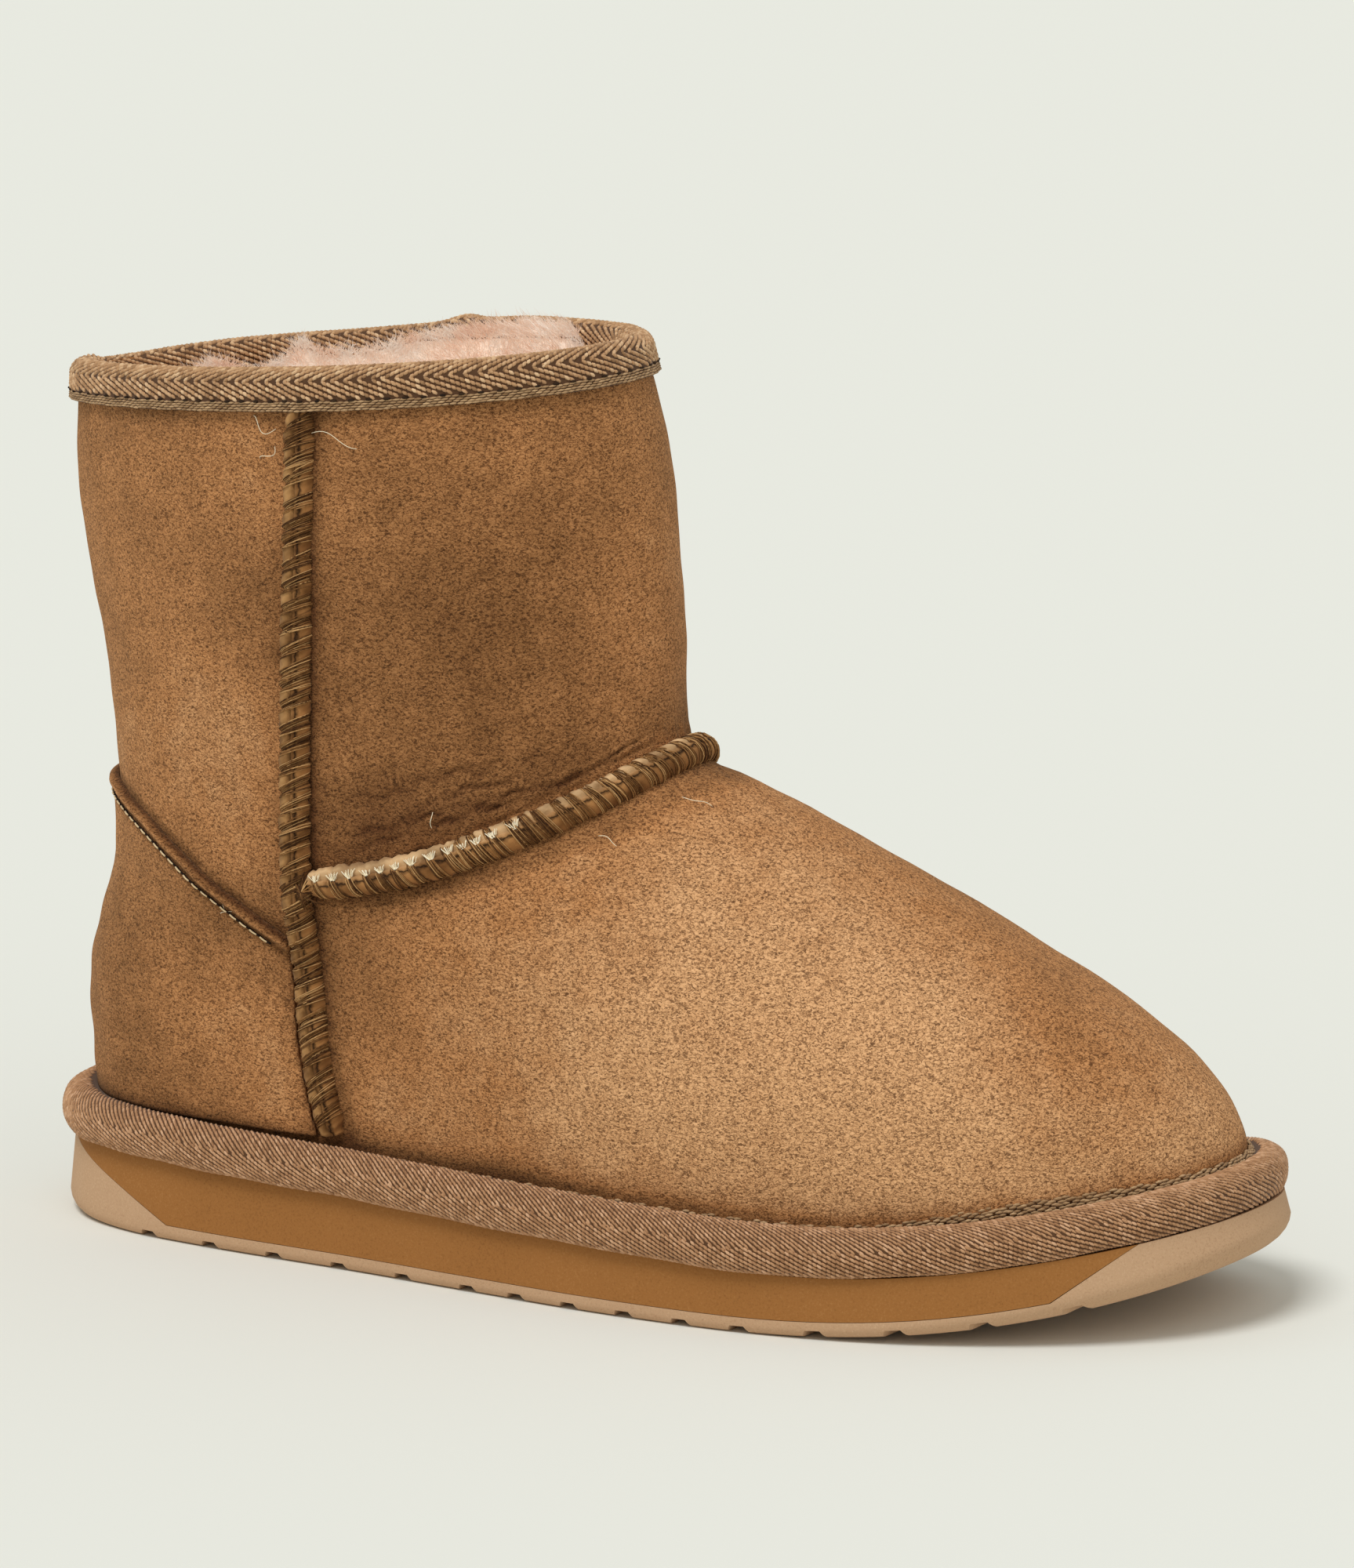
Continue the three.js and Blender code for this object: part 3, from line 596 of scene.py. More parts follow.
# the ground yarn under the floats is darkened as painted shade for the gaps between them
TAPE_GROUND_SHADE = spun_yarn("tape_ground_yarn_painted_shade", (0.2, "#563A24"), (0.9, "#765337"))
WELT_GROUND_SHADE = spun_yarn("welt_ground_yarn_painted_shade", (0.2, "#5A3D26"), (0.9, "#785438"))
WELT_YARN = spun_yarn("welt_face_yarn", (0.2, "#9C714D"), (0.55, "#BA8C64"), (0.9, "#D8AC86"))
TAPE_YARN = spun_yarn("tape_face_yarn", (0.2, "#9A7450"), (0.55, "#C2976D"), (0.9, "#E6C298"))
SELVAGE_YARN = spun_yarn("tape_selvage_yarn", (0.2, "#8A6845"), (0.9, "#C9A67C"))
DARK_THREAD = spun_yarn("dark_sewing_thread", (0.2, "#1F130A"), (0.9, "#3B2817"), sheen=0)
SEAM_THREAD = spun_yarn(
    "seam_thread", (0.2, "#472A12"), (0.5, "#916538"), (0.95, "#D8AC74"), twist=0.8, sheen=0
)
PALE_THREAD = spun_yarn("pale_thread", (0.2, "#D9BC8C"), (0.8, "#FFF3D6"))
SIDE_EDGE = cut_hide("side_hide_edge", "#8C6138", "#B98C59")
INSTEP_EDGE = cut_hide("instep_hide_edge", "#AE7F50", "#E2BD8E")
WOOL_PILE = fleece("sheared_wool", (0.2, "#C9A184"), (0.55, "#F2D3BA"), (1, "#FFF0E0"))
WOOL_FIBRE = fleece("wool_fibre", (0.2, "#E8C4A8"), (0.5, "#FFE6D0"), (0.9, "#FFF8EF"))

# The camera of the photograph, fitted to the boot's outline

CAMERA_AZIMUTH = 26.889
CAMERA_ELEVATION = 11.595
CAMERA_DISTANCE = 1.8
CAMERA_AIM = (135, 0, 85)
SENSOR = 36
PHOTO_HEIGHT = 2000
LENS_PIXELS = 11373.8
SHIFT_PIXELS = (17.88, 82.63)


def look_from(azimuth, elevation):
    """A way out from the boot, in degrees round from its outer side towards the toe and up."""
    a, e = math.radians(azimuth), math.radians(elevation)
    return Vector((math.sin(a) * math.cos(e), -math.cos(a) * math.cos(e), math.sin(e)))


def aimed(name, data, away):
    """A camera or lamp that looks back along a way out."""
    made = bpy.data.objects.new(name, data)
    made.rotation_euler = (-away).to_track_quat("-Z", "Y").to_euler()
    bpy.context.collection.objects.link(made)
    return made


def set_camera():
    away = look_from(CAMERA_AZIMUTH, CAMERA_ELEVATION)
    data = bpy.data.cameras.new("camera")
    data.lens = LENS_PIXELS / PHOTO_HEIGHT * SENSOR
    data.sensor_width = SENSOR
    data.shift_x = SHIFT_PIXELS[0] / PHOTO_HEIGHT
    data.shift_y = SHIFT_PIXELS[1] / PHOTO_HEIGHT
    data.clip_end = 50
    camera = aimed("camera", data, away)
    camera.location = Vector(metres(CAMERA_AIM)) + away * CAMERA_DISTANCE
    bpy.context.scene.camera = camera


set_camera()

# Upper hide

CREASES = [
    # distance above the instep seam, depth, half-width, first and last signed turn, waviness
    (2.9, 0.26, 0.4, -1.5, -0.1, 0.4), (4.5, 0.28, 0.42, -1.55, -0.3, 0.6),
    (6.2, 0.3, 0.45, -1.45, -0.2, 0.8), (7.9, 0.22, 0.42, -1.6, -0.75, 0.7),
    (9.3, 0.28, 0.45, -1.35, -0.35, 0.9), (11.2, 0.2, 0.45, -1.55, -0.8, 0.8),
    (12.6, 0.22, 0.48, -1.2, -0.55, 1), (14.8, 0.16, 0.5, -1.45, -0.85, 1.1),
    (3.1, 0.26, 0.42, 0.2, 1.5, 0.5), (5.2, 0.28, 0.45, 0.35, 1.55, 0.8),
    (7.6, 0.26, 0.45, 0.3, 1.35, 0.9), (10.4, 0.22, 0.48, 0.55, 1.45, 1),
    (13.4, 0.16, 0.5, 0.6, 1.3, 1.1),
]
DENTS = [
    # x, y, z, radius, depth: soft hollows and swellings
    (92, -36, 86, 20, -1.1), (60, -34, 120, 26, -0.5), (100, -30, 140, 24, 0.5),
    (30, -30, 150, 22, 0.5), (40, -36, 52, 18, 0.5), (150, -40, 62, 26, 0.5), (205, -30, 45, 24, 0.4),
    (92, 36, 86, 20, -1), (60, 34, 126, 26, -0.5), (8, 0, 80, 18, -0.5), (150, 30, 66, 26, 0.5),
    (132, -4, 110, 18, -0.6),
]
TONES_AND_PAINTED_LIGHT = [
    # x, y, z, radius, lighter or darker: patches of painted light and painted shade where light falls on the
    # hide, with some of the hide's own uneven tone
    (145, -34, 60, 38, 0.18), (185, -24, 60, 42, 0.16), (215, -22, 42, 36, 0.16),
    (245, -8, 34, 26, 0.16), (36, -36, 120, 40, -0.05), (130, -42, 30, 30, 0.08),
    (108, -34, 128, 34, -0.13), (86, -38, 164, 24, -0.06), (92, -38, 84, 20, -0.14),
    (30, -32, 40, 26, -0.1), (80, -40, 160, 22, -0.07), (60, -36, 172, 16, -0.05),
    (228, -30, 34, 20, -0.05), (8, -14, 46, 20, -0.06), (110, -36, 74, 14, -0.05),
    (14, -24, 140, 22, 0.06),
]
CREASED = (1, 18)  # from and to, above the instep seam
FAR = 99  # a distance at which a mark has no effect


def instep_end():
    """The turn at which the instep seam stops beside a side seam."""
    meeting = upper_face(math.pi / 2, INSTEP_LEVEL)[2]
    stop = seam_x(meeting) + 2 * SEAM_RADIUS + GAP
    back, front = ends_at(INSTEP_LEVEL)
    return math.acos((2 * (stop - back)) / (front - back) - 1)


INSTEP_END = float(instep_end())


def hide_marks(turn, up, points):
    """Folds and dents over the plain last, in millimetres, and how light the nap is painted: its own uneven
    tone, with painted light and painted shade.
    """
    relief = 0.32 * ripple(points, 22, 3) + 0.12 * ripple(points, 7, 4)
    tone = 0.02 + 0.05 * ripple(points, 30, 8)
    signed = signed_turn(turn)
    over = (up - INSTEP_LEVEL) * UPPER_RISE
    for above, depth, width, start, end, wave in CREASES:
        run = ease((signed - start) / 0.2) * ease((end - signed) / 0.2)
        bent = above + wave * ripple(points, 3.5, int(above * 10)) + 1.2 * np.sin(signed * 3 + above)
        broken = np.clip(0.5 + 0.8 * ripple(points, 6, int(above * 7)), 0, 1.2)
        gap = over - bent
        relief += run * depth * broken * (0.6 * hump(np.abs(gap) - 0.8, width) - 1.3 * hump(gap, width))
        # painted shade in each crease's hollow
        tone -= 0.6 * run * depth * broken * hump(gap, 0.45)
    # the tone patches add painted light on the lit vamp and toe and painted shade on the shaded shaft
    for marks, made in ((DENTS, relief), (TONES_AND_PAINTED_LIGHT, tone)):
        for x, y, z, radius, amount in marks:
            made += amount * hump(np.linalg.norm(points - (x, y, z), axis=-1), radius)
    x, y, z = points.T
    for side in (-1, 1):
        beside = np.where(y * side > 0, x - seam_x(z), FAR)
        pull = 0.22 * np.cos(2 * np.pi * z / 4.2) * hump(np.abs(beside) - 4.2, 1.6)
        relief += pull - 0.5 * hump(beside, 5)
        # painted shade beside the side seams, darkest where the roll meets the hide
        tone -= 0.12 * hump(beside - 4, 3) + 0.2 * hump(beside - 3.2, 1.2) + 0.05 * hump(beside + 4, 4)
    near = np.where(np.abs(signed) < INSTEP_END + 0.1, over, FAR)
    relief += -0.5 * hump(near, 5) + 0.2 * np.cos(signed * 56) * hump(np.abs(near) - 4.4, 1.5)
    # painted shade along the instep seam: a broad band above it, and a dark line where the roll meets the
    # hide below it
    tone -= 0.10 * hump(near - 6, 6) + 0.18 * hump(near + 3.3, 1.6)
    foot = z - sole_top(x) - 8
    # painted shadow on the hide's foot behind the welt, and a painted shadow line just above the counter's
    # edge
    tone -= 0.34 * hump(foot, 3.2) + 0.22 * (x < seam_x(z)) * hump(z - counter_top(x) - 0.6, 0.8)
    return relief * (ease((1 - up) * UPPER_RISE / 14) * ease(foot / 5)), tone


def upper_hide():
    """The whole hide, with rows gathered where it creases above the instep seam."""
    band = np.array(CREASED) / UPPER_RISE + INSTEP_LEVEL

    def laid(u, v):
        turn = 2 * np.pi * u
        v = np.interp(v, [0, 0.34, 0.66, 1], [0, *band, 1])
        plain = upper_face(turn, v)
        relief, tone = hide_marks(turn, v, plain)
        return on_upper(turn, v, relief), (u * 0.5, v * 0.2), tone

    piece = lay_grid("upper_hide", 280, 150, laid)
    thicken(piece, SKIN)
    fit(piece, SUEDE, "suede", "upper")


upper_hide()

# Heel counter

COUNTER_FLOOR = FEATHER + WELT_HEIGHT + GAP - 1
STITCHES_BELOW = 3.4  # from the counter's edge
STITCH_PITCH = 2.7


def counter_place(share, rise):
    """Turn and share of height on the counter: share from the outer seam to the inner one."""
    height = np.full(share.shape, COUNTER_FLOOR + 50.0)
    for _ in range(8):
        inner = place_on_upper(seam_x(height) - SEAM_RADIUS - GAP, height, 1)[0]
        turn = np.pi + share * (np.pi - inner)
        up = climb(height, lambda _: turn, 18)[1]
        edge = counter_top(upper_face(turn, up)[..., 0])
        height = mix(COUNTER_FLOOR, edge, rise)
    return turn, up, (1 - rise) * (edge - COUNTER_FLOOR)


def heel_counter():
    def laid(u, v):
        turn, up, below_edge = counter_place(2 * u - 1, v)
        plain = upper_face(turn, up)
        relief, tone = hide_marks(turn, up, plain)
        lip = 0.8 * hump(below_edge - 1.1, 0.9) - 0.4 * hump(below_edge - 3.3, 0.8)
        edge = ease(below_edge / 0.7)
        out = relief + mix(0.25, GAP + COUNTER_THICKNESS, edge) + lip * edge
        out += 0.10 * ripple(plain, 5, 21)
        # painted shade along the stitch groove and at the counter's turned edge
        tone -= 0.18 * hump(below_edge - 3.4, 0.9) + 0.35 * hump(below_edge, 0.6)
        # painted highlight along the crest of the lip
        tone += 0.06 * hump(below_edge - 1.2, 0.8)
        return on_upper(turn, up, out), (u * 0.2, v * 0.1), tone

    piece = lay_grid("heel_counter_skin", 190, 100, laid, ring=False)
    thicken(piece, 1.1)
    fit(piece, SUEDE, "suede", "heel_counter")


heel_counter()


def counter_stitches():
    """One row of pale dashes on a dark line, under the counter's turned edge."""
    share = np.linspace(-0.985, 0.985, 2401)
    trial = 0.07
    below = counter_place(share, 1 - trial)[2]
    turn, up, _ = counter_place(share, 1 - trial * STITCHES_BELOW / below)
    relief, _ = hide_marks(turn, up, upper_face(turn, up))
    line = on_upper(turn, up, relief + GAP + COUNTER_THICKNESS + 0.12)
    run = running(line)
    starts = np.arange(0.5, run[-1] - 3, STITCH_PITCH)
    faces = upper_normal(turn, up)
    for name, material, size, lift, length in (
        ("counter_thread", PALE_THREAD, 0.19, 0.1, 1.8),
        ("counter_line", DARK_THREAD, 0.24, -0.14, STITCH_PITCH),
    ):
        steps = starts[:, None] + np.linspace(0, length, 6)
        spots = sampled(run, line, steps)
        outs = unit(sampled(run, faces, steps))
        arch = lift + 0.12 * np.sin(np.linspace(0, np.pi, 6))[:, None]
        across = unit(np.cross(outs[:, 0], spots[:, -1] - spots[:, 0]))
        strands = [(path, [size], guide, 0.1) for path, guide in zip(spots + outs * arch, across)]
        threads(name, strands, 5, material, "suede")


# Rolled seams


class Roll:
    """A rolled overcast seam along places on the hide, pale on one side of its parting."""

    def __init__(self, turns, ups, pale, pitch, slant, parting, pinch, seed):
        centre = on_upper(turns, ups, -SEAM_SINK)
        run = running(centre)
        self.length, self.pitch, self.pale, self.slant = run[-1], pitch, pale, slant
        self.run, self.centre, self.parting, self.pinch = run, centre, parting, pinch
        self.out = upper_normal(turns, ups)
        self.count = int(run[-1] / pitch)
        picks = np.random.default_rng(seed)
        self.shift = picks.normal(0, 0.42, self.count + 3)
        self.fat = picks.normal(0, 0.12, (2, self.count + 3))
        self.picks = picks

    def frame(self, t):
        centre, before, after = (sampled(self.run, self.centre, t + step) for step in (0, -0.6, 0.6))
        ahead = unit(after - before)
        out = unit(sampled(self.run, self.out, t))
        return centre, out, unit(np.cross(out, ahead)) * self.pale, ahead

    def radius(self, t, angle):
        """Puffed lobes between the thread's bundles, with a parting between the two hides."""
        slot = (t + self.slant * np.sin(angle)) / self.pitch
        near = np.clip(np.round(slot).astype(int), 0, self.count + 2)
        gap = (slot - near - self.shift[near] / self.pitch) * self.pitch
        cell = np.clip(np.floor(slot).astype(int), 0, self.count + 2)
        side = (angle > self.parting).astype(int)
        open_ = ease((np.abs(gap) - 0.5) / 0.8)
        parting = (0.3 + 0.6 * open_) * hump(angle - self.parting, 0.08)
        pinch = self.pinch * (1 + 0.3 * side) * hump(gap, 0.6)
        lump = 0.12 * np.sin(3.1 * t + 2 * angle) * np.sin(5.3 * angle + t)
        return SEAM_RADIUS - 0.05 + self.fat[side, cell] * open_ - parting - pinch + lump

    def point(self, t, angle, lifted=0.0):
        centre, out, across, _ = self.frame(t)
        size = self.radius(t, angle) + lifted
        end = np.clip(np.minimum(t, self.length - t) / 0.9, 0, 1)
        taper = mix(0.78, 1, ease(np.minimum(t, self.length - t) / 4.5))
        size = size * taper * np.sqrt(1 - (1 - end) ** 2)
        height = np.maximum(size * np.cos(angle), -0.4)
        return centre + out * height[..., None] + across * (size * np.sin(angle))[..., None]

    def body(self, name, node_name, hide):
        def laid(u, v):
            angle = -2 * np.pi * u
            wrapped = signed_turn(angle)
            t = v * self.length
            side = 0.5 + (wrapped - self.parting) / math.radians(190) * 0.5
            return self.point(t, wrapped), (side, t / 100)

        piece = lay_grid(name, 48, int(self.length / 0.3), laid)
        face_outwards(piece)
        fit(piece, hide, "seam_roll", node_name)

    def wraps(self, name, number, fan, reach, far_reach=None):
        """Bundles of thread over the roll, close at the pale side and fanned out at the other."""
        strands = []
        share = np.linspace(0, 1, 11)
        for k in range(self.count + 2):
            middle = k * self.pitch + self.shift[k]
            inside = ease((min(middle, self.length - middle) - 26) / 12)
            start = reach if far_reach is None else mix(reach, far_reach, inside)
            for strand in range(number):
                spread = (strand - (number - 1) / 2) / number
                end = math.radians(-100) + self.picks.normal(0, 0.1)
                angle = mix(start + self.picks.normal(0, 0.15), end, share)
                stray = self.picks.normal(0, 0.3)
                wide = mix(0.55 * fan * spread, fan * spread + stray, share)
                t = middle - self.slant * np.sin(angle) + wide
                lift = 0.02 + 0.16 * np.sin(np.pi * share) + 0.1 * self.picks.random()
                if t.min() < 0.5 or t.max() > self.length - 0.5:
                    continue
                size = self.picks.uniform(0.08, 0.13)
                tone = self.picks.choice([0.02, 0.15, 0.35, 0.6], p=[0.28, 0.27, 0.25, 0.2])
                strands.append((self.point(t, angle, lift), [size], self.frame(middle)[3], tone))
        threads(name, strands, 4, SEAM_THREAD)

    def tufts(self, name, first, last):
        """Cut thread ends that stand like small brushes over the parting, from first to last."""
        strands = []
        share = np.linspace(0, 1, 5)
        for k in range(self.count + 2):
            middle = k * self.pitch + self.shift[k]
            if not first < middle < last:
                continue
            size = self.picks.uniform(1.0, 1.5)
            for lean in np.linspace(-1, 1, 9) + self.picks.normal(0, 0.12, 9):
                length = size * self.picks.uniform(0.8, 1.2)
                angle = self.parting + 0.3 * length * share - 0.12
                t = np.clip(middle + lean * (0.25 + 0.9 * size * share), 0.2, self.length - 0.2)
                path = self.point(t, angle, 0.15 + 0.4 * share)
                strands.append((path, 0.17 * (1 - 0.5 * share), self.frame(middle)[3]))
        tones = self.picks.uniform(0.2, 0.8, len(strands))
        threads(name, [(*strand, tone) for strand, tone in zip(strands, tones)], 4, PALE_THREAD)


def side_roll(side, seed):
    turn, _ = place_on_upper(seam_x(BOOT_HEIGHT), BOOT_HEIGHT, side)
    high = upper_face(turn, 1 - TAPE_OUTSIDE / UPPER_RISE)[2] + 0.6
    height = np.linspace(COUNTER_FLOOR, high, 160)
    turns, ups = place_on_upper(seam_x(height), height, side)
    return Roll(turns, ups, -side, pitch=4.1, slant=1.6, parting=-0.12, pinch=0.55, seed=seed)


def instep_roll():
    signed = np.linspace(-INSTEP_END - 0.06, INSTEP_END + 0.06, 220)
    ups = np.full(len(signed), INSTEP_LEVEL)
    return Roll(signed, ups, 1, pitch=3.5, slant=1.2, parting=0.34, pinch=0.3, seed=5)


outer_roll, inner_roll, front_roll = side_roll(-1, 1), side_roll(1, 2), instep_roll()
outer_roll.body("outer_side_roll", "side_seam_outer", SIDE_EDGE)
inner_roll.body("inner_side_roll", "side_seam_inner", SIDE_EDGE)
front_roll.body("instep_roll", "instep_seam", INSTEP_EDGE)
outer_roll.wraps("outer_side_wraps", 14, fan=3.6, reach=1)
inner_roll.wraps("inner_side_wraps", 14, fan=3.6, reach=1)
front_roll.wraps("instep_wraps", 12, fan=3, reach=0.25, far_reach=1.15)
front_roll.tufts("instep_outer_tufts", 2, 48)
front_roll.tufts("instep_inner_tufts", front_roll.length - 48, front_roll.length - 2)


def seam_knots():
    """Where the seams meet: a knot of thread with strands pulled out over both rolls."""
    for side, name in ((-1, "seam_knot_outer"), (1, "seam_knot_inner")):
        height = upper_face(math.pi / 2, INSTEP_LEVEL)[2] - 1.5
        turn, up = place_on_upper(seam_x(height) + 3.0, height, side)
        middle = on_upper(turn, up, 2.2)
        out = upper_normal(turn, up)
        across = unit(np.cross(out, [0.0, 0.0, 1.0]))
        rise = unit(np.cross(across, out))
        strands = []
        share = np.linspace(0, 1, 9)[:, None]
        for k in range(26):
            angle = k * 2 * np.pi / 26 + dice.normal(0, 0.1)
            reach = dice.uniform(2.2, 4.6)
            way = across * math.cos(angle) + rise * math.sin(angle)
            curl = np.cross(out, way) * dice.normal(0, 0.5) * share**2
            lift = out * (0.9 * np.sin(np.pi * (0.25 + 0.7 * share)) - 1.3 * share)
            size = dice.uniform(0.12, 0.2)
            tone = dice.choice([0.02, 0.1, 0.3, 0.6], p=[0.5, 0.2, 0.2, 0.1])
            strands.append((middle + way * reach * share + curl + lift, [size], np.cross(out, way), tone))
        threads(name, strands, 5, SEAM_THREAD)


def loose_threads():
    """Thread ends that stray from the outer seams."""
    spots = [
        # signed turn, share of height, way along and up, length, curl
        (-1.56, 0.94, -1.0, 0.3, 4.5, 1.4), (-1.43, 0.935, 1.0, -0.3, 8, 1.0),
        (-1.57, 0.92, -0.6, -0.8, 3.5, 1.0), (-2.02, 0.45, -0.8, -0.2, 3.4, -0.5),
        (-2.0, 0.455, -0.7, 0.5, 3, 0.8), (-0.70, 0.492, 0.2, -1.0, 2.0, 0.3),
        (-0.34, 0.492, 0.6, -1.0, 3.0, -0.5), (-1.15, 0.55, 0.1, 1.0, 2.4, 0.12),
    ]
    strands = []
    share = np.linspace(0, 1, 12)
    for turn, up, ahead, rise, length, curl in spots:
        across = math.hypot(ahead, rise)
        bend = curl * np.sin(np.pi * share * 1.6)
        x = (ahead * length * share - rise * bend) / across
        y = (rise * length * share + ahead * bend) / across
        path = on_upper(turn + x / 48, up + y / UPPER_RISE, 0.5 + 0.9 * np.sin(np.pi * share))
        strands.append((path, [0.07], upper_normal(turn, up), 0.5))
    threads("loose_threads", strands, 5, PALE_THREAD)


seam_knots()
loose_threads()
counter_stitches()

# Woven tape


class Tape:
    """A woven band: skin(turn, across) is its face, across in millimetres from one edge."""

    def __init__(self, skin, width, halfway, yarn=None):
        self.skin, self.width, self.yarn = skin, width, yarn
        self.turns = np.linspace(0, 2 * np.pi, 1441)
        self.run = running(skin(self.turns, halfway))
        self.length = self.run[-1]

    def place(self, s, across):
        turn = np.interp(np.mod(s, self.length), self.run, self.turns)
        return self.skin(turn, across)

    def axes(self, s, across):
        round_ = self.place(s + 0.3, across) - self.place(s - 0.3, across)
        low, high = np.clip(across - 0.3, 0, self.width), np.clip(across + 0.3, 0, self.width)
        rise = self.place(s, high) - self.place(s, low)
        stretch = np.linalg.norm(round_, axis=-1, keepdims=True) / 0.6
        round_, rise = unit(round_), unit(rise)
        return round_, rise, unit(np.cross(round_, rise)), stretch

    def ground(self, name, node_name, columns, rows, yarn):
        """The tape's own sheet, under its floats, its ground yarn dark as painted shade in the gaps between
        them.
        """

        def laid(u, v):
            return self.skin(2 * np.pi * u, v * self.width), (u * self.length / 10, v * self.width / 10)

        piece = lay_grid(name, columns, rows, laid)
        thicken(piece, 1)
        fit(piece, yarn, "woven_tape", node_name)

    def floats(self, name, material, s, across, lean, size, sink=0.12):
        """Yarn floats at places on the band, each a small grain leaning across by a slope."""
        round_, rise, out, stretch = self.axes(s, across)
        way = unit(round_ + rise * lean[:, None])
        side = np.cross(out, way)
        scatter = dice.normal(0, 1, (3, len(s), 1))
        long = way * size[0] * stretch * (1 + 0.08 * scatter[0])
        spots = self.place(s, across) - out * sink + side * 0.03 * scatter[1]
        tone = np.clip(0.35 + 0.16 * scatter[2][:, 0], 0, 0.8)
        piece = sown(name, spots, long, side * size[1], out * size[2], GRAIN, tone)
        fit(piece, material, "woven_tape")

    def herringbone(self, name, bands, pitch, rib, slope, twist, size):
        """Twill ribs that turn at each apex: bands are (low edge, number of ribs, direction).

        slope is the rib's, twist the steeper one of each float in it.
        """
        columns = round(self.length / pitch)
        slope = round(slope * self.length / rib) * rib / self.length
        s = (np.arange(columns) + 0.5) * self.length / columns
        places, rows, lean = [], [], []
        for low, ribs, way in bands:
            row = np.mod(way * (np.arange(ribs) * rib + slope * s[:, None]), ribs * rib)
            places.append(np.repeat(s, ribs))
            rows.append(low + row.ravel())
            lean.append(np.full(row.size, way * twist))
        self.floats(name, self.yarn, *map(np.concatenate, (places, rows, lean)), size)

    def cords(self, name, rows, pitch, size, wave, period):
        """Plain cords of the selvage, lying along the band."""
        columns = round(self.length / pitch)
        s = (np.arange(columns) + 0.5) * self.length / columns
        places = np.concatenate([s + 0.5 * pitch * (k % 2) for k in range(len(rows))])
        across = np.concatenate([row + wave * np.sin(s * 2 * np.pi / period) for row in rows])
        self.floats(name, SELVAGE_YARN, places, across, np.full(len(places), 0.05), size)


GRAIN = grain_form()
FOLD = SKIN / 2 + GAP + TAPE  # radius of the tape's fold over the collar
DOWN = TAPE_OUTSIDE - (FOLD - GAP - TAPE)
COLLAR_WIDTH = DOWN + math.pi * FOLD + TAPE_INSIDE - FOLD / 2
SEAM_TURN = float(place_on_upper(seam_x(BOOT_HEIGHT), BOOT_HEIGHT, 1)[0])


def tape_swell(turn):
    """How far the tape stands out where it passes over the side seams."""
    return 0.9 * hump(np.abs(signed_turn(turn)) - SEAM_TURN, 0.055)


def collar_skin(turn, across):
    """The tape's face: up the outside, over the fold, and down the inside."""
    turn, across = pair(turn, across)
    bend = np.clip((across - DOWN) / FOLD, 0, math.pi)
    past = np.maximum(across - DOWN - math.pi * FOLD, 0)
    before = np.maximum(DOWN - across, 0)
    rise = -SKIN / 2 + FOLD * np.sin(bend) - before - past
    out = -SKIN / 2 + FOLD * np.cos(bend)
    up = 1 + np.minimum(rise, 0) / UPPER_RISE
    wave = 0.16 * np.sin(turn * 9 + 1) + 0.1 * np.sin(turn * 23) + tape_swell(turn)
    point = upper_face(turn, up) + upper_normal(turn, np.minimum(up, BELOW_TOP)) * (out + wave)[..., None]
    signed = signed_turn(turn)
    bump = 1.1 * hump(signed - 1.25, 0.32) + 0.9 * hump(signed - SEAM_TURN, 0.06)
    bump -= 1.3 * hump(signed - 2.85, 0.4)
    lifted = np.maximum(rise, 0) + bump * ease((rise + 6) / 6)
    return point + np.stack([np.zeros_like(lifted), np.zeros_like(lifted), lifted], -1)


def collar_tape():
    tape = Tape(collar_skin, COLLAR_WIDTH, 3, TAPE_YARN)
    tape.ground("collar_tape", "collar_binding", 300, 44, TAPE_GROUND_SHADE)
    bands = [(2.35, 3, -1), (5.8, 5, 1), (11.55, 5, -1), (17.3, 4, 1)]
    size = (0.82, 0.43, 0.55)
    tape.herringbone("collar_twill", bands, pitch=1, rib=1.15, slope=0.42, twist=0.8, size=size)
    rows = [0.25, 0.72, 1.2, 1.68]
    tape.cords("collar_selvage", rows, pitch=1.5, size=(0.98, 0.27, 0.5), wave=0.06, period=9)
    holes = np.arange(0, tape.length - 2, 3.8)
    row = np.full(len(holes), 2.02)
    tape.floats("collar_stitches", DARK_THREAD, holes, row, row * 0, (0.75, 0.3, 0.5), sink=-0.12)


def welt_skin(turn, across):
    """The welt's face: from its lower edge round the outside and over the top to the hide."""
    turn, across = pair(turn, across)
    reach, rise = np.moveaxis(sampled(WELT_RUN, WELT_CURVE, across / WELT_WIDTH), -1, 0)
    inside = on_upper(turn, rise * WELT_HEIGHT / UPPER_RISE, GAP - 0.6)
    overhang = mix(WELT_OVERHANG, WELT_TOE_OVERHANG, spring_share(plan_point(turn)[0]))
    x, y = plan_point(turn, overhang)
    px, py = mix(inside[..., 0], x, reach), mix(inside[..., 1], y, reach)
    wave = 0.12 * np.sin(turn * 31) + 0.1 * np.sin(turn * 13 + 2)
    return np.stack([px, py, sole_top(px) + GAP + rise * WELT_HEIGHT + wave * reach], -1)


def welt_curve():
    """The welt's section as a smooth curve, with its running length as shares."""
    rows = [(key, *row) for key, row in enumerate(WELT_SECTION)]
    fine = np.linspace(0, len(rows) - 1, 161)
    curve = np.stack([read(rows, fine, 1), read(rows, fine, 2)], -1)
    run = running(curve)
    return curve, run / run[-1]


WELT_CURVE, WELT_RUN = welt_curve()
WELT_WIDTH = 22


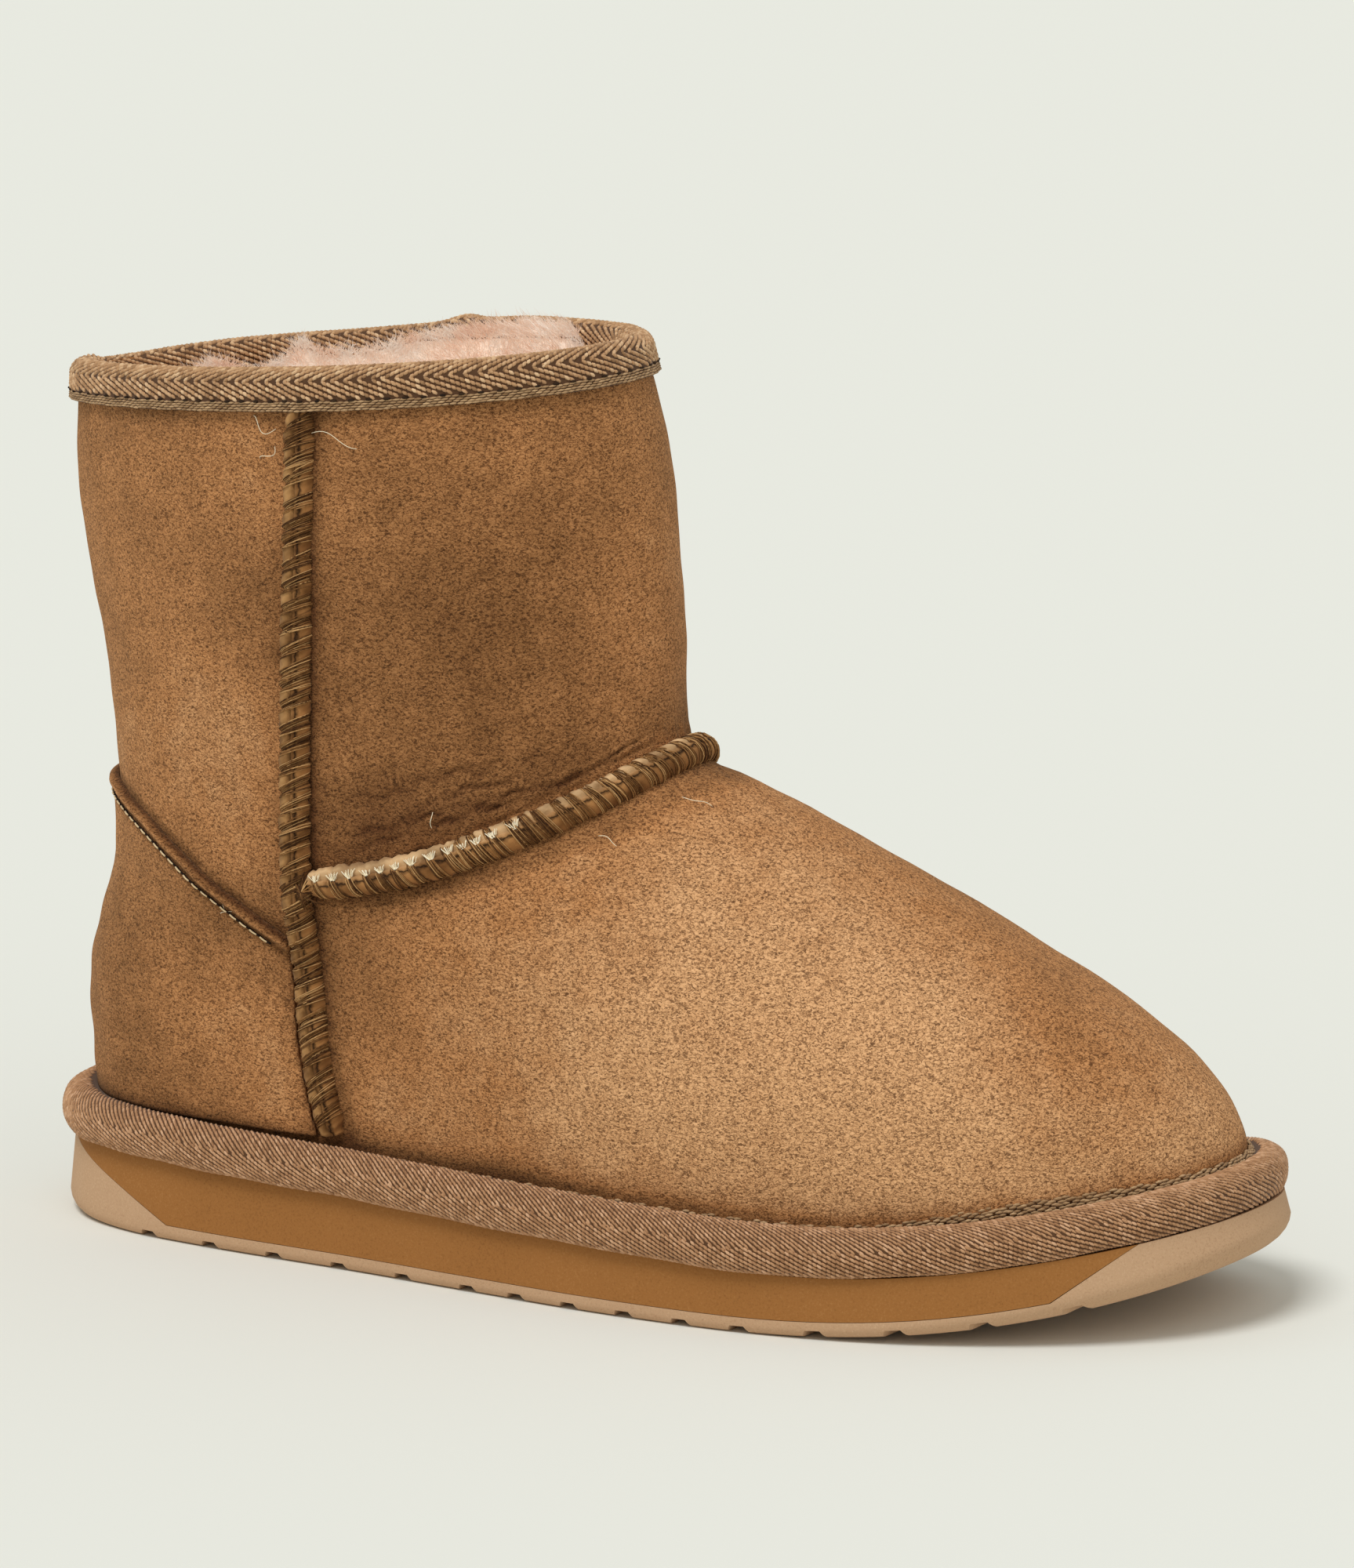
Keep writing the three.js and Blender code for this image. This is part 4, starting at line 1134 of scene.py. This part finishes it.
def welt_band():
    tape = Tape(welt_skin, WELT_WIDTH, 11.5, WELT_YARN)
    tape.ground("welt_band", "welt_binding", 420, 48, WELT_GROUND_SHADE)
    for name, band, rib, slope, twist, size in (
        ("welt_face_twill", (6.3, 7, -1), 0.82, 0.42, 0.75, (0.80, 0.35, 0.42)),
        ("welt_top_twill", (11.9, 8, -1), 0.84, 0.62, 0.95, (0.95, 0.29, 0.38)),
    ):
        tape.herringbone(name, [band], 0.95, rib, slope, twist, size)
    rows = [1.2, 1.75, 2.3, 2.85, 3.4]
    edge = Tape(selvage_skin, 4.2, 1.8)
    edge.cords("welt_selvage", rows, pitch=1.4, size=(0.92, 0.34, 0.5), wave=0.3, period=5.2)


def selvage_skin(turn, across):
    """The strip of hide behind the welt, where the tape's selvage stands against it."""
    turn, across = pair(turn, across)
    x = plan_point(turn)[0]
    ends = ease((spring_share(x) - 0.25) / 0.5) + 0.6 * ease((30 - x) / 24)
    up = (WELT_HEIGHT * 0.42 + (2.1 + WELT_HEIGHT * 0.18) * ends + across) / UPPER_RISE
    reach = mix(1.0, 2.3, ends)
    return on_upper(turn, up, reach - 0.24 * across * reach)


collar_tape()
welt_band()

# Sole


def sole_shape(name):
    """The whole sole with a rounded lower edge and leaning sides."""
    # each level's share of the bevel left, of the lean, of the bevel's rise and the side's, and pull
    levels = [(1, 0, 0, 0, s) for s in (0, 0.35, 0.7)]
    levels += [(1 - math.sin(a), 0, 1 - math.cos(a), 0, 1) for a in np.linspace(0, math.pi / 2, 6)]
    levels += [(0, s, 1, s, 1) for s in (0.15, 0.35, 0.55, 0.75, 0.9, 1)]
    levels += [(0, 1, 1, 1, s) for s in (0.7, 0.35, 0)]

    def laid(u, v):
        turn = 2 * np.pi * u
        inset, lean, low, high, pull = np.array(levels)[np.round(v * (len(levels) - 1)).astype(int)].T
        x0, _ = plan_point(turn)
        back = mix(HEEL_BEVEL, EDGE_BEVEL, ease(x0 / HEEL_RADIUS))
        bevel = mix(back, TOE_BEVEL, spring_share(x0) ** 2)
        tuck = SIDE_TUCK * np.sin(turn) ** 2
        x, y = plan_point(turn, mix(-tuck, -SIDE_LEAN, lean) - inset * bevel)
        spine = mix(SOLE_LENGTH / 2, x0, 0.93)
        x = mix(spine, x, pull)
        y = mix(AXIS_SWING * (spine / SOLE_LENGTH) ** 3, y, pull)
        side = sole_top(x) - sole_under(x) - bevel
        return np.stack([x, y, sole_under(x) + low * bevel + high * side], -1), (u, v)

    piece = lay_grid(name, 260, len(levels) - 1, laid)
    face_outwards(piece)
    return piece


def prism(name, outline):
    """A cutter right across the boot, from an outline seen from the side."""
    bpy.ops.object.select_all(action="DESELECT")
    bpy.ops.mesh.primitive_circle_add(vertices=len(outline), radius=1, fill_type="NGON")
    piece = bpy.context.object
    piece.name = name
    side = np.array([(x, -BALL_WIDTH, z) for x, z in outline])
    piece.data.vertices.foreach_set("co", metres(side).astype(np.float32).ravel())
    across = {"value": (0, 2 * BALL_WIDTH / 1000, 0)}
    edited(bpy.ops.mesh.extrude_region_move, TRANSFORM_OT_translate=across)
    face_outwards(piece)
    return piece


def midsole_outline(clearance):
    """The midsole from the side: each joint from above the sole's top down to its floor."""
    heel_top, heel_foot = MIDSOLE_HEEL[0] - clearance, MIDSOLE_HEEL[1] - clearance
    toe_top, toe_foot = (SOLE_LENGTH - back + clearance for back in MIDSOLE_TOE[:2])

    def floor(x):
        return float(sole_under(x)) + OUTSOLE_FLOOR - clearance

    def joint(top, foot, bulge):
        high = float(sole_top(top))
        made = [(top, 3 * HEEL_THICKNESS), (top, high)]
        for s in np.linspace(0, 1, 9)[1:-1]:
            bow = bulge * 4 * s * (1 - s)
            made.append((mix(top, foot, s) + bow, mix(high, floor(foot), s)))
        return made

    run = [(x, floor(x)) for x in np.linspace(heel_foot, toe_foot, 40)]
    heel = joint(heel_top, heel_foot, MIDSOLE_HEEL[2])
    return heel + run + joint(toe_top, toe_foot, MIDSOLE_TOE[2])[::-1]


def tread_cutter():
    """All V-shaped grooves of the tread as one cutter."""
    floor = GROOVE_FLOOR / 2
    below = GROOVE_MOUTH / 2 + (GROOVE_MOUTH / 2 - floor) / 2
    section = ((-below, -0.5), (-floor, 1), (floor, 1), (below, -0.5))
    bend = ((-BALL_WIDTH, -GROOVE_VEE), (0, GROOVE_VEE / 2), (BALL_WIDTH, -GROOVE_VEE))
    points, faces = [], []
    for x in [SOLE_LENGTH * (first + i * pitch) for first, pitch, count in TREAD for i in range(count)]:
        base = len(points)
        for y, ahead in bend:
            for dx, deep in section:
                at = x + ahead + dx
                points.append((at, y, float(sole_under(at)) + deep * GROOVE_DEPTH))
        for a in range(base, base + 8):
            b = a + 1 if (a - base) % 4 < 3 else a - 3
            faces.append((a, b, b + 4, a + 4))
        faces += [(base + 3, base + 2, base + 1, base), tuple(range(base + 8, base + 12))]
    piece = joined("tread_cutter", points, faces)
    face_outwards(piece)
    return piece


def sole():
    outsole = sole_shape("outsole_foam")
    midsole = sole_shape("midsole_foam")
    wide = prism("wide_cutter", midsole_outline(0.12))
    exact = prism("exact_cutter", midsole_outline(0))
    tread = tread_cutter()
    cuts = (midsole, "INTERSECT", exact), (outsole, "DIFFERENCE", wide), (outsole, "DIFFERENCE", tread)
    for piece, operation, cutter in cuts:
        finished(piece, "BOOLEAN", operation=operation, object=cutter, solver="EXACT")
        bpy.data.objects.remove(cutter)
    fit(outsole, PALE_FOAM, "pale_foam", "outsole", sharp=32)
    fit(midsole, OCHRE_FOAM, "ochre_foam", "midsole", sharp=32)


sole()

# Wool

WOOL_RISE = 12.5


def wool_rise(turn):
    """How far the fleece rises past the foot of the tape, in millimetres: most on the inner side."""
    spots = [-3.2, 0.80, 0.92, 1.25, 1.4, 1.6, 1.8, 1.95, 2.0, 2.06, 2.2, 2.35, 2.5, 2.7, 3.2]
    rises = [0, 0, WOOL_RISE, WOOL_RISE, 11.0, 8.5, 6.5, 7.0, 10.5, 6.5, 4.0, 7.0, 4.0, 1.0, 0]
    return np.interp(signed_turn(turn), spots, rises)


def wool_skin(turn, v):
    """The lining's inner face, from the insole to its rim."""
    foot = (INSOLE_THICKNESS + GAP) / UPPER_RISE
    rim = RIM + wool_rise(turn) / UPPER_RISE
    up = mix(foot, rim, v)
    plain = upper_face(turn, np.minimum(up, BELOW_TOP))
    depth = SKIN + GAP + WOOL + 1.0 * ripple(plain, 8, 31) + 0.5 * ripple(plain, 3.5, 32)
    depth = mix(depth, SKIN + GAP + TAPE + 1.2, ease((v - 0.93) / 0.07) ** 2)
    depth = depth + 2.5 * wool_rise(turn) / WOOL_RISE * hump(v - 0.86, 0.1)
    return np.minimum(up, BELOW_TOP), depth


def lining():
    def laid(u, v):
        up, depth = wool_skin(2 * np.pi * u, v)
        return on_upper(2 * np.pi * u, up, -depth), (u, v), 0.25 + 0.35 * v**3

    piece = lay_grid("wool_pile", 200, 90, laid)
    edited(bpy.ops.mesh.flip_normals)
    thicken(piece, 0.9)
    fit(piece, WOOL_PILE, "wool", "wool_lining")


def fibres(count):
    """Curly wool hairs on the lining, dense at its rim."""
    turn = dice.uniform(0, 2 * np.pi, count)
    inner = dice.random(count) < 0.6
    turn = np.where(inner, dice.uniform(0.75, 2.7, count), turn)
    v = 1 - 0.3 * dice.uniform(0, 1, count) ** 1.8
    up, depth = wool_skin(turn, v)
    full = (wool_rise(turn) / WOOL_RISE) ** 2
    root = on_upper(turn, up, -depth + 0.3 + 0.8 * full)
    root[:, 2] += 2.4 * full * ease((v - 0.86) / 0.1) * dice.random(count)
    inward = -upper_normal(turn, up)
    rise = np.array([0.0, 0.0, 1.0])
    lean = ripple(root, 9, 41)[:, None]
    sway = unit(np.cross(inward, rise)) * (0.7 * lean + dice.normal(0, 0.35, (count, 1)))
    way = unit(inward * dice.uniform(0.4, 1.0, (count, 1)) + rise * dice.uniform(0.3, 1.1, (count, 1)) + sway)
    length = dice.uniform(2.0, 5.0, count)[:, None]
    curl = unit(dice.normal(size=(count, 3))) * dice.uniform(0.2, 1.1, (count, 1))
    middle = root + way * length * 0.5 + curl
    tip = root + way * length + curl * 0.3 + dice.normal(0, 0.4, (count, 3))
    across = unit(np.cross(way, dice.normal(size=(count, 3)))) * 0.1
    tone = np.clip(0.2 + 0.45 * dice.random(count) + 0.2 * ripple(root, 3, 43), 0, 0.8)
    fit(blades("wool_fibres", root, middle, tip, across, tone), WOOL_FIBRE, "wool")


def insole():
    def laid(u, v):
        turn = 2 * np.pi * u
        ring = on_upper(turn, 0, -SKIN - GAP)
        flat = mix(np.array([133.0, 1.0]), ring[:, :2], v[:, None])
        top = sole_top(flat[:, 0]) + GAP + INSOLE_THICKNESS
        points = np.concatenate([flat, top[:, None]], 1)
        points[:, 2] += 0.5 * ripple(points, 5, 51) - 0.5
        return points, (u, v), np.full(len(u), 0.2)

    piece = lay_grid("wool_insole", 160, 60, laid)
    edited(bpy.ops.mesh.flip_normals)
    thicken(piece, INSOLE_THICKNESS - 1)
    fit(piece, WOOL_PILE, "wool", "insole")


lining()
fibres(38000)
insole()

# Studio


def studio():
    bpy.ops.object.select_all(action="DESELECT")
    bpy.ops.mesh.primitive_plane_add(size=40, location=(0, 0, 0))
    floor = bpy.context.object
    floor.name = "floor"
    floor.data.materials.append(matt_paper())
    world = bpy.data.worlds.new("studio")
    world.use_nodes = True
    back = world.node_tree.nodes["Background"]
    back.inputs["Color"].default_value = colour("#F4F5F0")
    back.inputs["Strength"].default_value = 0.55
    bpy.context.scene.world = world
    # azimuth, elevation, strength and softness of each lamp
    for name, azimuth, elevation, strength, soft in (("key", -6, 63, 1.55, 24), ("fill", 62, 42, 0.16, 60)):
        data = bpy.data.lights.new(name, "SUN")
        data.energy = strength
        data.angle = math.radians(soft)
        aimed(name, data, look_from(azimuth, elevation))
    bpy.context.scene.view_settings.view_transform = "Standard"


studio()
